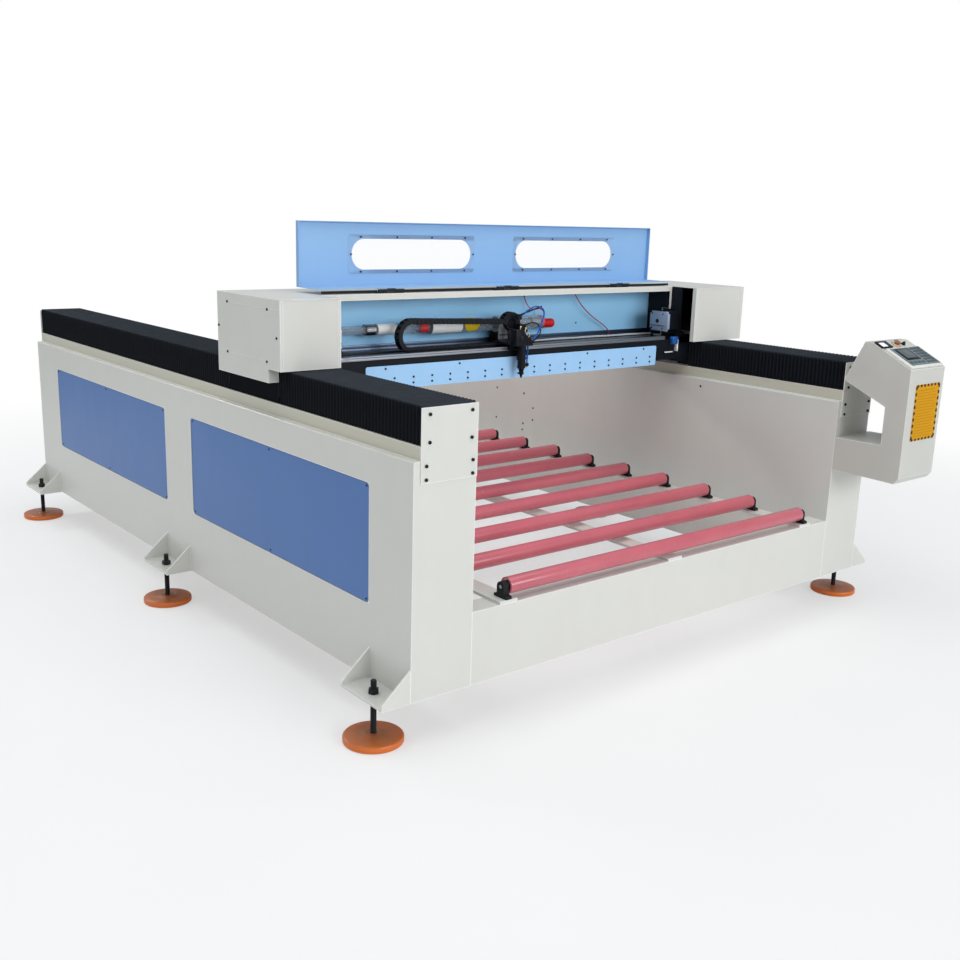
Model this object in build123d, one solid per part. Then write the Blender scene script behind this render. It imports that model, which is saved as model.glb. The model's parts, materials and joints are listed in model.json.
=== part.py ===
"""Flat-bed carbon dioxide laser cutting machine with a folding dust hood.

Two long box walls carry a gantry that runs from front to back under bellows. The gantry holds
the glass laser tube and the rail of the cutting head, and sheets lie on a bed of loose rollers.
Millimetres. X runs to the right, Y to the back and Z up. The origin lies on the floor, in the
middle of the machine from side to side and from the cabinet's front to the rear end plates.
"""
from build123d import *
import math
import os

# Bed and its walls
bed_length = 3200
bed_width = 2280
wall_width = 225
wall_bottom = 145
skin_top = 870
bed_top = 912
bed_inset = 23
wall_bend = 5
end_plate_thickness = 3
end_plate_bottom = 805
end_plate_top = 1022

# Sunk panels in the outer skins
panel_thickness = 3
panel_pocket = 4
panel_bottom = 390
panel_top = 766
panel_corner = 14
panel_gap = 1.5
front_panel_start = 223
front_panel_end = 1446
rear_panel_start = 1685
rear_panel_end = 2930

# Cross beams
crossbeam_top = 382
crossbeam_flange = 84
crossbeam_foot_flange = 50
crossbeam_sheet = 5

# Feet
bracket_reach = 101
bracket_length = 222
bracket_plate = 8
bracket_top = 250
gusset_thickness = 6
gusset_toe = 10
middle_bracket_start = 1485
foot_outset = 55
foot_along = 111
rear_foot_along = 128
pad_radius = 93
pad_height = 26.5
pad_hub_radius = 30
pad_socket = 12
screw_radius = 9.5
screw_top = 196
nut_across = 30
nut_height = 16

# Roller bed
bar_width = 70
bar_thickness = 10
bar_setback = 109
roller_count = 14
first_roller = 30
last_roller_gap = 102
roller_axis = 428
roller_radius = 27
roller_bore = 21
roller_shaft_radius = 6
block_width = 22
block_length = 60
block_foot = 9
block_neck = 34
block_crown = 17
roller_side_gap = 1.5

# Guide rails, racks and bellows on the bed
rail_width = 15
rail_height = 14
rail_from_inner = 60
rack_width = 20
rack_height = 20
rack_from_inner = 135
rail_end_gap = 5
bellows_top = 1028
bellows_side_gap = 3
bellows_pitch = 32
bellows_depth = 10
bellows_wall = 2

# Gantry ends
gantry_front = 722
gantry_depth = 443
saddle_bottom = 936
saddle_thickness = 12
saddle_outer_gap = 12
cheek_thickness = 8
cheek_front = 806
cheek_margin = 5
bellows_frame = 3
slide_block_width = 34
slide_block_length = 60
slide_block_lift = 3.5
head_block_height = 27

# Beam, skirt and head rail
beam_front = 803
beam_depth = 100
beam_bottom = 948
beam_top = 1036
beam_wall = 6
skirt_left = 366
skirt_right = 1868
skirt_bottom = 929
skirt_top = 1013
skirt_thickness = 3
skirt_corner = 8
head_rail_start = 300
head_rail_end = 1930
head_rail_setback = 5

# Gantry covers
sheet = 2
cover_top = 1262
left_cover_reach = 13
right_cover_reach = 61
left_cover_inner = 216
right_cover_inner = 2017
left_cover_bottom = 1031
right_cover_bottom = 1030
cover_skirt_bottom = 985
cover_skirt_flange = 38
cover_return = 20
inner_wall_start = 910
brow_start = 865
brow_motor_gap = 8
top_cover_front = 862
top_cover_lip = 22
top_cover_rear_bottom = 990
back_panel_setback = 1000
back_panel_bottom = 1040
back_panel_flange = 14
tray_lip = 28
tray_overlap = 8

# Laser tube
tube_radius = 27.5
tube_wall = 2.5
tube_behind_beam = 147
tube_over_beam = 89
tube_start = 285
neck_start = 451
neck_end = 739
shoulder = 8
neck_radius = 20
tail_radius = 16
tube_end = 1322
inner_tube_radius = 9
inner_tube_wall = 1.5
cap_radius = 19
cap_drop = 8
cap_length = 66
cap_plug = 10
window_cap_length = 18
window_cap_rim = 2
window_nose = 10
window_nose_length = 28
window_bore = 6
clamp_width = 48
left_clamp = 300
right_clamp = 1074
clamp_band = 5
clamp_post = 12
clamp_foot = 8
clamp_foot_height = 10
tube_seat_gap = 0.05
mirror_place = 150
second_mirror = 17
mirror_frame = 48
mirror_frame_thickness = 8
mirror_radius = 15
mirror_thickness = 6
mirror_post = 16
mirror_foot_width = 36
mirror_foot_depth = 28
mirror_foot_height = 6

# Drives
motor_size = 86
motor_length = 89
motor_corner = 7
motor_setback = 858
motor_over_beam = 77
motor_shaft_radius = 7
motor_shaft_hole = 24
motor_shaft_reach = 20
motor_pulley_radius = 16
shaft_radius = 10
shaft_setback = 1080
pinion_teeth = 20
pinion_pitch_radius = 42
tooth_height = 7
pinion_width = 24
shaft_pulley_radius = 48
pulley_width = 22
pulley_from_cheek = 10
belt_thickness = 2.5
fit_gap = 0.05
running_gap = 0.3
head_pulley_radius = 9
head_belt_width = 12
head_belt_setback = 838
head_belt_axis = 1049
head_belt_thickness = 1.5
head_pulley_from_cheek = 58
head_motor_size = 57
head_motor_length = 56
head_motor_corner = 5
head_motor_shaft = 4
head_motor_gap = 4
head_motor_foot = 40

# Limit switch
switch_place = 1956
switch_angle_width = 36
switch_angle_rise = 14
switch_angle_drop = 32
switch_angle_thickness = 3
switch_margin = 4
switch_width = 30
switch_depth = 16
switch_rise = 12
switch_drop = 20
switch_arm = 8
switch_arm_rise = 4
switch_arm_thickness = 4
switch_arm_inset = 5
switch_arm_depth = 6

# Hood
hinge_setback = 871
hinge_over_cover = 10.5
hinge_barrel = 4.5
hinge_pin = 2
hinge_leaf = 2
hinge_leaf_depth = 32
hinge_length = 110
hinge_places = (520, 1068, 1692)
hood_left_gap = 3
hood_right_gap = 12
hood_lift = 7
hood_depth = 149
hood_top = 1507
hood_fold = 18
window_length = 550
window_height = 110
window_centre_height = 1392
window_spacing = 783
pane_margin = 15
pane_thickness = 3

# Cutting head
head_centre = 1055
head_belt_clamp = 30
nozzle_reach = 43
head_plate_left = 1000
head_plate_thickness = 8
head_plate_depth = 84
head_front_plate_left = 1050
head_front_plate_right = 1090
head_front_plate_bottom = 1000
mirror_block_left = 1012
mirror_block_reach = 15
mirror_block_bottom = 1058
mirror_block_top = 1121
mirror_block_low = 1077
mirror_block_crest = 1036
mirror_block_right = 1098
collar_radius = 16
collar_bottom = 972
focus_radius = 12
focus_bottom = 968
focus_top = 1030
focus_bore_top = 1052
nozzle_tip = 934
nozzle_tip_radius = 3
air_port_radius = 5
air_port_start = 1085
air_port_end = 1104
air_port_height = 1084

# Drag chain
link_pitch = 20
link_height = 18
link_groove = 2.5
link_groove_depth = 2
chain_front = 862
chain_width = 30
chain_fall = 17
chain_bottom = 1040
chain_bend_radius = 64.5
chain_bend_links = 9
link_groove_share = 0.06
chain_bend_centre = 612
chain_anchor = 1120
hoop_centre = 1088
hoop_outer = 46
hoop_inner = 16
hoop_flat = 5
hoop_margin = 2
tower_front = 828

# Control cabinet
cabinet_width = 242
cabinet_reach = 288
cabinet_top = 1115
cabinet_top_rear = 87
cabinet_top_front = 119
cabinet_slope_foot = 1029
cabinet_front_bottom = 613
cabinet_sole = 591
cabinet_sole_front = 270
cabinet_rear_bottom = 597
cabinet_arm_top = 727
cabinet_notch_reach = 199
cabinet_notch_bottom = 731
cabinet_notch_top = 878
cabinet_back_low = 957
cabinet_back_high = 968
cabinet_back_gap = 18
display_left = 5
display_rim = 9
display_width = 72
display_depth = 42
display_setback = 3
display_thickness = 5
panel_left = 5
controller_width = 228
controller_depth = 129
controller_setback = 55
controller_thickness = 7
screen_inset = 42
screen_width = 100
screen_depth = 62
screen_margin = 16
screen_recess = 1.5
estop_from_left = 123
estop_setback = 27
estop_head_radius = 16
estop_head_height = 10
estop_collar_radius = 14
estop_collar_height = 4
estop_travel_gap = 5
estop_stem_radius = 9
estop_stem_depth = 22
knob_from_left = 168
knob_setback = 30
knob_radius = 8
knob_height = 13
knob_stem_radius = 4
knob_stem_depth = 15

# Hoses and leads
hose_diameter = 6
cable_diameter = 5
lead_diameter = 4.5

# Places that follow from the sizes above
tube_setback = beam_front + tube_behind_beam
tube_height = beam_top + tube_over_beam
motor_height = beam_top + motor_over_beam
hinge_height = cover_top + hinge_over_cover
hood_back = hinge_setback + hood_depth
nozzle_setback = beam_front - nozzle_reach
head_front_plate = nozzle_setback + collar_radius
head_plate_rear = head_front_plate + head_plate_depth
mirror_block_front = nozzle_setback - mirror_block_reach
front_face = -(bed_length + end_plate_thickness - cabinet_reach) / 2
rear_face = front_face + bed_length
roller_pitch = (bed_length - first_roller - last_roller_gap) / (roller_count - 1)
left_face = -bed_width / 2
right_face = bed_width / 2
left_inner = left_face + wall_width
right_inner = right_face - wall_width
bar_top = crossbeam_top + bar_thickness
chain_rear = chain_front + chain_width
saddle_top = saddle_bottom + saddle_thickness
gantry_rear = gantry_front + gantry_depth
low = (Align.MIN, Align.MIN, Align.MIN)
standing = (Align.CENTER, Align.CENTER, Align.MIN)


def across(distance):
    """Place on X, measured from the left wall's outer face."""
    return left_face + distance


def along(distance):
    """Place on Y, measured from the walls' front face."""
    return front_face + distance


def slab(x0, x1, y0, y1, z0, z1):
    """Rectangular piece between two corners."""
    return Pos(x0, y0, z0) * Box(x1 - x0, y1 - y0, z1 - z0, align=low)


def prism_x(outline, x0, x1):
    """Outline in Y and Z, drawn out along X."""
    face = make_face(Polyline(*outline, close=True))
    return extrude(Plane.YZ.offset(x0) * face, x1 - x0)


def prism_y(outline, y0, y1):
    """Outline in X and Z, drawn out along Y."""
    face = make_face(Polyline(*outline, close=True))
    plane = Plane((0, y1, 0), x_dir=(1, 0, 0), z_dir=(0, -1, 0))
    return extrude(plane * face, y1 - y0)


def plate_facing_y(x, z, width, height, corner, y0, y1):
    """Round-cornered plate that faces along Y, about its centre."""
    plane = Plane((x, y1, z), x_dir=(1, 0, 0), z_dir=(0, -1, 0))
    return extrude(plane * RectangleRounded(width, height, corner), y1 - y0)


def plate_facing_x(y0, y1, z0, z1, corner, x0, x1):
    """Round-cornered plate that faces along X, between its edges."""
    plane = Plane((x0, (y0 + y1) / 2, (z0 + z1) / 2), x_dir=(0, 1, 0), z_dir=(1, 0, 0))
    return extrude(plane * RectangleRounded(y1 - y0, z1 - z0, corner), x1 - x0)


def rod(start, direction, radius, length):
    """Round bar from a point along a direction."""
    return Plane(start, z_dir=direction).location * Cylinder(radius, length, align=standing)


def turned(outline):
    """Body of revolution about Z from an outline in radius and height."""
    return revolve(Plane.XZ * make_face(Polyline(*outline, close=True)), Axis.Z)


def tube_along(points, diameter, label):
    """Round tube through hand-picked points, with the largest arcs that its runs allow."""
    corners = [Vector(*point) for point in points]
    radii = []
    for before, corner, after in zip(corners, corners[1:], corners[2:]):
        run_in = corner - before
        run_out = after - corner
        turn = math.radians(run_in.get_angle(run_out))
        radii.append(0.45 * min(run_in.length, run_out.length) / math.tan(turn / 2))
    path = FilletPolyline(*points, radius=radii)
    section = Plane(corners[0], z_dir=corners[1] - corners[0]) * Circle(diameter / 2)
    tube = sweep(section, path=path)
    print(label, "length", round(path.length, 1), "radii", [round(radius) for radius in radii])
    print(label, "volume ratio", round(tube.volume / (section.area * path.length), 4))
    return tube


# Frame

def side_wall(outer_x):
    """One long box wall; both walls share this section and step in on their left side."""
    x0 = outer_x
    x1 = outer_x + wall_width
    outline = [(x0, wall_bottom), (x1, wall_bottom), (x1, bed_top), (x0 + bed_inset, bed_top),
               (x0 + bed_inset, skin_top), (x0, skin_top)]
    wall = prism_y(outline, front_face, rear_face)
    lower_edges = wall.edges().filter_by(Axis.Y).sort_by(Axis.Z)[:2]
    upper_edges = wall.edges().filter_by(Axis.Y).filter_by_position(Axis.X, x0 - 1, x0 + 1)
    wall = fillet(lower_edges + upper_edges.sort_by(Axis.Z)[-1:], wall_bend)
    return wall


def panel_fields():
    """Start and end of the two sunk panels of a wall."""
    return [(along(front_panel_start), along(front_panel_end)),
            (along(rear_panel_start), along(rear_panel_end))]


def panel_pocket_cut(outer_x, side):
    """Shallow pockets for the panels, in a wall's outer skin."""
    x0 = min(outer_x, outer_x - side * panel_pocket)
    cuts = [plate_facing_x(y0, y1, panel_bottom, panel_top, panel_corner, x0, x0 + panel_pocket)
            for y0, y1 in panel_fields()]
    return cuts[0] + cuts[1]


def side_panels(outer_x, side):
    """Blue panels that lie in the pockets of one wall."""
    seat = outer_x - side * panel_pocket
    x0 = min(seat, seat + side * panel_thickness)
    gap = panel_gap
    return [plate_facing_x(y0 + gap, y1 - gap, panel_bottom + gap, panel_top - gap,
                           panel_corner - gap, x0, x0 + panel_thickness)
            for y0, y1 in panel_fields()]


def crossbeam(face_y, inward):
    """Open channel between the walls, its web flush with their end faces."""
    tip = face_y + inward * crossbeam_flange
    foot = face_y + inward * crossbeam_foot_flange
    skin = face_y + inward * crossbeam_sheet
    outline = [(face_y, wall_bottom), (foot, wall_bottom), (foot, wall_bottom + crossbeam_sheet),
               (skin, wall_bottom + crossbeam_sheet), (skin, crossbeam_top - crossbeam_sheet),
               (tip, crossbeam_top - crossbeam_sheet), (tip, crossbeam_top), (face_y, crossbeam_top)]
    return prism_x(outline, left_inner, right_inner)


def foot_places():
    """Each foot: side of the machine, start of its bracket and its centre along the wall."""
    starts = [(0, foot_along), (middle_bracket_start, foot_along),
              (bed_length - bracket_length, rear_foot_along)]
    return [(side, along(start), along(start + centre))
            for side in (-1, 1) for start, centre in starts]


def foot_bracket(side, start, centre):
    """Plate under a wall's edge with a gusset at each end."""
    wall_x = side * bed_width / 2
    tip_x = wall_x + side * bracket_reach
    plate_top = wall_bottom + bracket_plate
    plate = slab(min(wall_x, tip_x), max(wall_x, tip_x), start, start + bracket_length,
                 wall_bottom, plate_top)
    outline = [(wall_x, plate_top), (tip_x, plate_top), (tip_x, plate_top + gusset_toe),
               (wall_x, bracket_top)]
    first = prism_y(outline, start, start + gusset_thickness)
    last = prism_y(outline, start + bracket_length - gusset_thickness, start + bracket_length)
    hole = rod((wall_x + side * foot_outset, centre, wall_bottom - 1), (0, 0, 1),
               screw_radius + 1, bracket_plate + 2)
    return plate + first + last - hole


def foot_screw(side, centre):
    """Levelling screw with a nut under and over its bracket plate."""
    x = side * (bed_width / 2 + foot_outset)
    foot = pad_height - pad_socket
    screw = rod((x, centre, foot), (0, 0, 1), screw_radius, screw_top - foot)
    screw = chamfer(screw.faces().sort_by(Axis.Z)[-1].edges(), 1.5)
    hexagon = extrude(RegularPolygon(nut_across / 2, 6, major_radius=False), nut_height)
    hexagon -= Cylinder(screw_radius + fit_gap, nut_height * 3)
    lower = Pos(x, centre, wall_bottom - nut_height) * hexagon
    upper = Pos(x, centre, wall_bottom + bracket_plate) * hexagon
    return [screw, lower, upper]


def foot_pad(side, centre):
    """Round pad with a low hub and a socket for the screw."""
    socket_radius = screw_radius + fit_gap
    socket_floor = pad_height - pad_socket
    outline = [(0, 0), (pad_radius - 4, 0), (pad_radius, 4), (pad_radius, pad_height - 8),
               (pad_radius - 5, pad_height - 3), (pad_hub_radius, pad_height),
               (socket_radius, pad_height), (socket_radius, socket_floor), (0, socket_floor)]
    return Pos(side * (bed_width / 2 + foot_outset), centre, 0) * turned(outline)


def bed_offsets():
    """Left edges of the two raised beds."""
    return [left_face + bed_inset, right_inner + bed_inset]


def end_plates():
    """Plates that close the bellows at the four ends of the walls."""
    width = wall_width - bed_inset
    plates = []
    for x0 in bed_offsets():
        for y0 in (front_face - end_plate_thickness, rear_face):
            plates.append(slab(x0, x0 + width, y0, y0 + end_plate_thickness,
                               end_plate_bottom, end_plate_top))
    return plates


def rail_lines():
    """Centre of each guide rail on X."""
    return [left_inner - rail_from_inner, right_inner + rail_from_inner]


def rack_lines():
    """Centre of each rack on X."""
    return [left_inner - rack_from_inner, right_inner + rack_from_inner]


def waisted_rail(length):
    """Guide rail along Y: wide foot, waist and head."""
    half = rail_width / 2
    waist = half - 2
    outline = [(-half, 0), (half, 0), (half, rail_height * 0.35), (waist, rail_height * 0.5),
               (half, rail_height * 0.7), (half, rail_height), (-half, rail_height),
               (-half, rail_height * 0.7), (-waist, rail_height * 0.5), (-half, rail_height * 0.35)]
    return prism_y(outline, 0, length)


def bed_rails_and_racks():
    """A guide rail and a rack on each bed."""
    length = bed_length - 2 * rail_end_gap
    rails = [Pos(x, along(rail_end_gap), bed_top) * waisted_rail(length) for x in rail_lines()]
    racks = [slab(x - rack_width / 2, x + rack_width / 2, along(rail_end_gap),
                  along(rail_end_gap) + length, bed_top, bed_top + rack_height)
             for x in rack_lines()]
    return rails + racks


def bellows(x0, x1, y0, y1):
    """Folded cover over a rail: an upturned channel with sharp pleats, open below."""
    steps = 2 * round((y1 - y0) / bellows_pitch)
    bottom = bed_top + running_gap
    rings = []
    for step in range(steps + 1):
        y = y0 + (y1 - y0) * step / steps
        inset = 0 if step % 2 else bellows_depth
        outer_left, outer_right, outer_top = x0 + inset, x1 - inset, bellows_top - inset
        inner_left, inner_right = outer_left + bellows_wall, outer_right - bellows_wall
        inner_top = outer_top - bellows_wall
        ring = [(outer_left, y, bottom), (outer_left, y, outer_top), (outer_right, y, outer_top),
                (outer_right, y, bottom), (inner_right, y, bottom), (inner_right, y, inner_top),
                (inner_left, y, inner_top), (inner_left, y, bottom)]
        rings.append(Wire(Polyline(*ring, close=True).edges()))
    return Solid.make_loft(rings, ruled=True)


def bellows_pair(start, end):
    """Bellows on both beds between two places along the walls."""
    width = wall_width - bed_inset - 2 * bellows_side_gap
    return [bellows(x0 + bellows_side_gap, x0 + bellows_side_gap + width, along(start), along(end))
            for x0 in bed_offsets()]


# Roller bed

def bar_lines():
    """Centres of the three long bars on X."""
    setback = bar_setback + bar_width / 2
    return [left_inner + setback, 0, right_inner - setback]


def bed_bars():
    """Flat bars that lie on the cross beams from front to back."""
    return [slab(x - bar_width / 2, x + bar_width / 2, front_face, rear_face,
                 crossbeam_top, bar_top) for x in bar_lines()]


def roller_places():
    """Centres of the rollers on Y."""
    return [along(first_roller + number * roller_pitch) for number in range(roller_count)]


def roller_block(x, y):
    """Bearing block with a flanged foot and a round crown."""
    half_foot = block_length / 2
    half_neck = block_neck / 2
    foot_top = bar_top + block_foot
    outline = [(y - half_foot, bar_top), (y + half_foot, bar_top), (y + half_foot, foot_top),
               (y + half_neck, foot_top + 4), (y + half_neck, roller_axis), (y - half_neck, roller_axis),
               (y - half_neck, foot_top + 4), (y - half_foot, foot_top)]
    block = prism_x(outline, x - block_width / 2, x + block_width / 2)
    block += rod((x - block_width / 2, y, roller_axis), (1, 0, 0), block_crown, block_width)
    return block - rod((x - block_width, y, roller_axis), (1, 0, 0),
                       roller_shaft_radius + fit_gap, block_width * 2)


def roller(y):
    """Coated roller with turned ends on a through shaft."""
    lines = bar_lines()
    shaft_end = lines[2] + block_width / 2
    drum_end = lines[2] - block_width / 2 - roller_side_gap
    outline = [(0, -shaft_end), (roller_shaft_radius, -shaft_end), (roller_shaft_radius, 4 - drum_end),
               (roller_bore, 4 - drum_end), (roller_bore, -drum_end), (roller_radius - 1, -drum_end),
               (roller_radius, 1 - drum_end), (roller_radius, drum_end - 1),
               (roller_radius - 1, drum_end), (roller_bore, drum_end), (roller_bore, drum_end - 4),
               (roller_shaft_radius, drum_end - 4), (roller_shaft_radius, shaft_end), (0, shaft_end)]
    return Pos(0, y, roller_axis) * Rot(0, 90, 0) * turned(outline)


# Control cabinet

def cabinet_slope():
    """Plane on the cabinet's sloping top: X to the right, Y up the slope, Z outwards."""
    top = Vector(right_inner, along(-cabinet_top_front), cabinet_top)
    foot = Vector(right_inner, along(-cabinet_reach), cabinet_slope_foot)
    up = (top - foot).normalized()
    return Plane(top, x_dir=(1, 0, 0), z_dir=Vector(1, 0, 0).cross(up))


def on_slope(right, down):
    """Frame on the slope, so far from its left edge and so far down from its top edge."""
    return cabinet_slope().location * Location((right, -down, 0))


def control_cabinet():
    """Folded housing that hangs on the right wall, notched behind to clear a hand."""
    outline = [(along(-cabinet_back_gap), cabinet_back_high), (along(-cabinet_top_rear), cabinet_top),
               (along(-cabinet_top_front), cabinet_top), (along(-cabinet_reach), cabinet_slope_foot),
               (along(-cabinet_reach), cabinet_front_bottom), (along(-cabinet_sole_front), cabinet_sole),
               (front_face, cabinet_rear_bottom), (front_face, cabinet_arm_top),
               (along(-cabinet_notch_reach), cabinet_notch_bottom),
               (along(-cabinet_notch_reach), cabinet_notch_top),
               (along(-cabinet_back_gap), cabinet_back_low)]
    housing = prism_x(outline, right_inner, right_inner + cabinet_width)
    holes = []
    for right, down, radius, depth in (
            (estop_from_left, estop_setback, estop_stem_radius, estop_stem_depth + 6),
            (knob_from_left, knob_setback, knob_stem_radius, knob_stem_depth)):
        drill = Cylinder(radius + fit_gap, depth * 2)
        holes.append(on_slope(right, down) * drill)
    return housing - holes[0] - holes[1]


def slope_plate(right, down, width, depth, thickness, corner, recess):
    """Plate on the slope with a shallow field, given by its upper left corner."""
    body = extrude(RectangleRounded(width, depth, corner), thickness)
    x0, x1, y0, y1 = recess
    field = Pos(x0, y0, thickness - screen_recess) * Box(x1 - x0, y1 - y0, thickness, align=low)
    return on_slope(right + width / 2, down + depth / 2) * (body - field)


def cabinet_screens():
    """Small meter at the top of the slope and the controller below it."""
    half_width = display_width / 2 - display_rim
    half_depth = display_depth / 2 - display_rim
    meter_field = (-half_width, half_width, -half_depth, half_depth)
    meter = slope_plate(display_left, display_setback, display_width, display_depth,
                        display_thickness, 3, meter_field)
    left = screen_inset - controller_width / 2
    upper = controller_depth / 2 - screen_margin
    screen_field = (left, left + screen_width, upper - screen_depth, upper)
    controller = slope_plate(panel_left, controller_setback, controller_width, controller_depth,
                             controller_thickness, 6, screen_field)
    return [meter, controller]


def estop_button():
    """Mushroom head on its stem, and the collar that stays is part of the cabinet front."""
    under = estop_collar_height + estop_travel_gap
    top = under + estop_head_height
    head = estop_head_radius
    outline = [(0, -estop_stem_depth), (estop_stem_radius, -estop_stem_depth),
               (estop_stem_radius, under), (head - 2, under), (head, under + 3), (head, top - 5),
               (head - 4, top - 2), (head - 9, top), (0, top)]
    return on_slope(estop_from_left, estop_setback) * turned(outline)


def estop_collar():
    """Threaded ring round the stem of the stop button."""
    ring = Cylinder(estop_collar_radius, estop_collar_height, align=standing)
    ring -= Cylinder(estop_stem_radius + fit_gap, estop_collar_height * 3)
    return on_slope(estop_from_left, estop_setback) * ring


def key_switch():
    """Black selector knob with a raised grip."""
    outline = [(0, -knob_stem_depth + 1), (knob_stem_radius, -knob_stem_depth + 1),
               (knob_stem_radius, 0), (knob_radius, 0), (knob_radius, knob_height * 0.45),
               (knob_radius - 1, knob_height * 0.55), (0, knob_height * 0.55)]
    grip = Pos(0, 0, knob_height / 2) * Box(knob_radius * 2 - 2, 5, knob_height)
    return on_slope(knob_from_left, knob_setback) * (turned(outline) + grip)


# Gantry carriage

def cheek_range(side):
    """Faces of a gantry cheek on X, behind the cover's inner wall."""
    if side < 0:
        face = across(left_cover_inner) - sheet
        return face - cheek_thickness, face
    face = across(right_cover_inner) + sheet
    return face, face + cheek_thickness


def slide_block(x, y, z_rail, length, width, height):
    """Bearing block that straddles a guide rail, open below, running along Y."""
    half = width / 2
    slot = rail_width / 2 + running_gap
    bottom = z_rail + slide_block_lift
    roof = z_rail + rail_height + running_gap
    top = z_rail + height
    outline = [(x - half, bottom), (x - slot, bottom), (x - slot, roof), (x + slot, roof),
               (x + slot, bottom), (x + half, bottom), (x + half, top), (x - half, top)]
    return prism_y(outline, y, y + length)


def gantry_saddle(side):
    """Base plate, cheek and bellows frames of one gantry end, welded up."""
    cheek_x0, cheek_x1 = cheek_range(side)
    bed_x = bed_offsets()[0 if side < 0 else 1]
    bed_outer = bed_x + bellows_side_gap
    if side > 0:
        bed_outer = bed_x + wall_width - bed_inset - bellows_side_gap
    plate_end = bed_outer - side * saddle_outer_gap
    inner_end = cheek_x1 if side < 0 else cheek_x0
    x0, x1 = sorted((plate_end, inner_end))
    y0, y1 = along(cheek_front), along(gantry_rear - bellows_frame)
    plate = slab(x0, x1, y0, y1, saddle_bottom, saddle_top)
    cheek = slab(cheek_x0, cheek_x1, y0, y1 - cheek_margin, saddle_top, cover_top - sheet)
    frame_x0, frame_x1 = sorted((bed_outer, inner_end))
    frame_top = bellows_top - bellows_depth
    front = slab(frame_x0, frame_x1, along(beam_front), y0, saddle_bottom, frame_top)
    rear = slab(frame_x0, frame_x1, y1, along(gantry_rear), saddle_bottom, frame_top)
    body = plate + cheek + front + rear
    reach = pinion_pitch_radius + tooth_height
    rack_x = rack_lines()[0 if side < 0 else 1]
    body -= slab(rack_x - pinion_width / 2 - 3, rack_x + pinion_width / 2 + 3,
                 along(shaft_setback) - reach, along(shaft_setback) + reach,
                 saddle_bottom - 1, saddle_top + 1)
    if side > 0:
        reach = shaft_pulley_radius + 3 * belt_thickness
        body -= slab(drive_belt_x() - 3, drive_belt_x() + pulley_width + 3,
                     along(shaft_setback) - reach, along(shaft_setback) + reach,
                     saddle_bottom - 1, saddle_top + 1)
    body -= rod((cheek_x0 - 1, along(shaft_setback), pinion_axis()), (1, 0, 0),
                shaft_radius + fit_gap, cheek_thickness + 2)
    body -= slab(cheek_x0 - 1, cheek_x1 + 1, along(head_belt_setback) - 3,
                 along(head_belt_setback) + head_belt_width + 3, beam_top + 0.5,
                 head_belt_axis + head_pulley_radius + head_belt_thickness + 2)
    if side > 0:
        body -= rod((cheek_x0 - 1, along(motor_setback), motor_height), (1, 0, 0),
                    motor_shaft_radius + 8, cheek_thickness + 2)
    return body


def gantry_saddles():
    """Both gantry ends with their four slide blocks."""
    pieces = []
    for side, rail_x in zip((-1, 1), rail_lines()):
        pieces.append(gantry_saddle(side))
        height = saddle_bottom - bed_top
        rear_y = along(gantry_rear) - bellows_frame - cheek_margin - slide_block_length
        for y in (along(cheek_front + cheek_margin), rear_y):
            pieces.append(slide_block(rail_x, y, bed_top, slide_block_length,
                                      slide_block_width, height))
    return pieces


def gantry_beam():
    """Box tube between the cheeks."""
    x0 = cheek_range(-1)[1]
    x1 = cheek_range(1)[0]
    y0 = along(beam_front)
    tube = slab(x0, x1, y0, y0 + beam_depth, beam_bottom, beam_top)
    bore = slab(x0 - 1, x1 + 1, y0 + beam_wall, y0 + beam_depth - beam_wall,
                beam_bottom + beam_wall, beam_top - beam_wall)
    return tube - bore


def head_rail():
    """Bright guide rail along the front edge of the beam."""
    rail = Rot(0, 0, -90) * waisted_rail(head_rail_end - head_rail_start)
    y = along(beam_front + head_rail_setback + rail_width / 2)
    return Pos(across(head_rail_start), y, beam_top) * rail


def beam_skirt():
    """Blue plate on the front of the beam."""
    x = across((skirt_left + skirt_right) / 2)
    z = (skirt_bottom + skirt_top) / 2
    return plate_facing_y(x, z, skirt_right - skirt_left, skirt_top - skirt_bottom, skirt_corner,
                          along(beam_front - skirt_thickness), along(beam_front))


# Gantry covers

def end_cover(side):
    """Folded sheet box over one gantry end, open below and towards the beam."""
    inner = across(left_cover_inner) if side < 0 else across(right_cover_inner)
    outer = left_face - left_cover_reach if side < 0 else right_face + right_cover_reach
    bottom = left_cover_bottom if side < 0 else right_cover_bottom
    x0, x1 = min(inner, outer), max(inner, outer)
    front, rear = along(gantry_front), along(gantry_rear)
    skin = -side * sheet
    shell = slab(x0, x1, front, rear, bottom, cover_top)
    shell -= slab(x0 + sheet, x1 - sheet, front + sheet, rear - sheet, bottom - 1, cover_top - sheet)
    shell -= slab(min(inner, inner + side * sheet) - 0.5, max(inner, inner + side * sheet) + 0.5,
                  front + cover_return, along(inner_wall_start), bottom - 1, cover_top - sheet)
    drop_x0, drop_x1 = sorted((outer, outer + skin))
    shell += slab(drop_x0, drop_x1, along(beam_front), rear, cover_skirt_bottom, bottom)
    flange_x0, flange_x1 = sorted((outer, outer - side * cover_skirt_flange))
    shell += slab(flange_x0, flange_x1, along(beam_front), along(beam_front) + sheet,
                  cover_skirt_bottom, bottom)
    if side > 0:
        brow_bottom = motor_height + motor_size / 2 + brow_motor_gap
        shell += slab(inner, inner + sheet, along(brow_start), along(inner_wall_start), brow_bottom,
                      cover_top - sheet)
    return shell - slab(min(inner, inner + side * sheet) - 1, max(inner, inner + side * sheet) + 1,
                        along(head_belt_setback), along(gantry_rear) + 1, bottom - 1, beam_top + 2)


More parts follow.
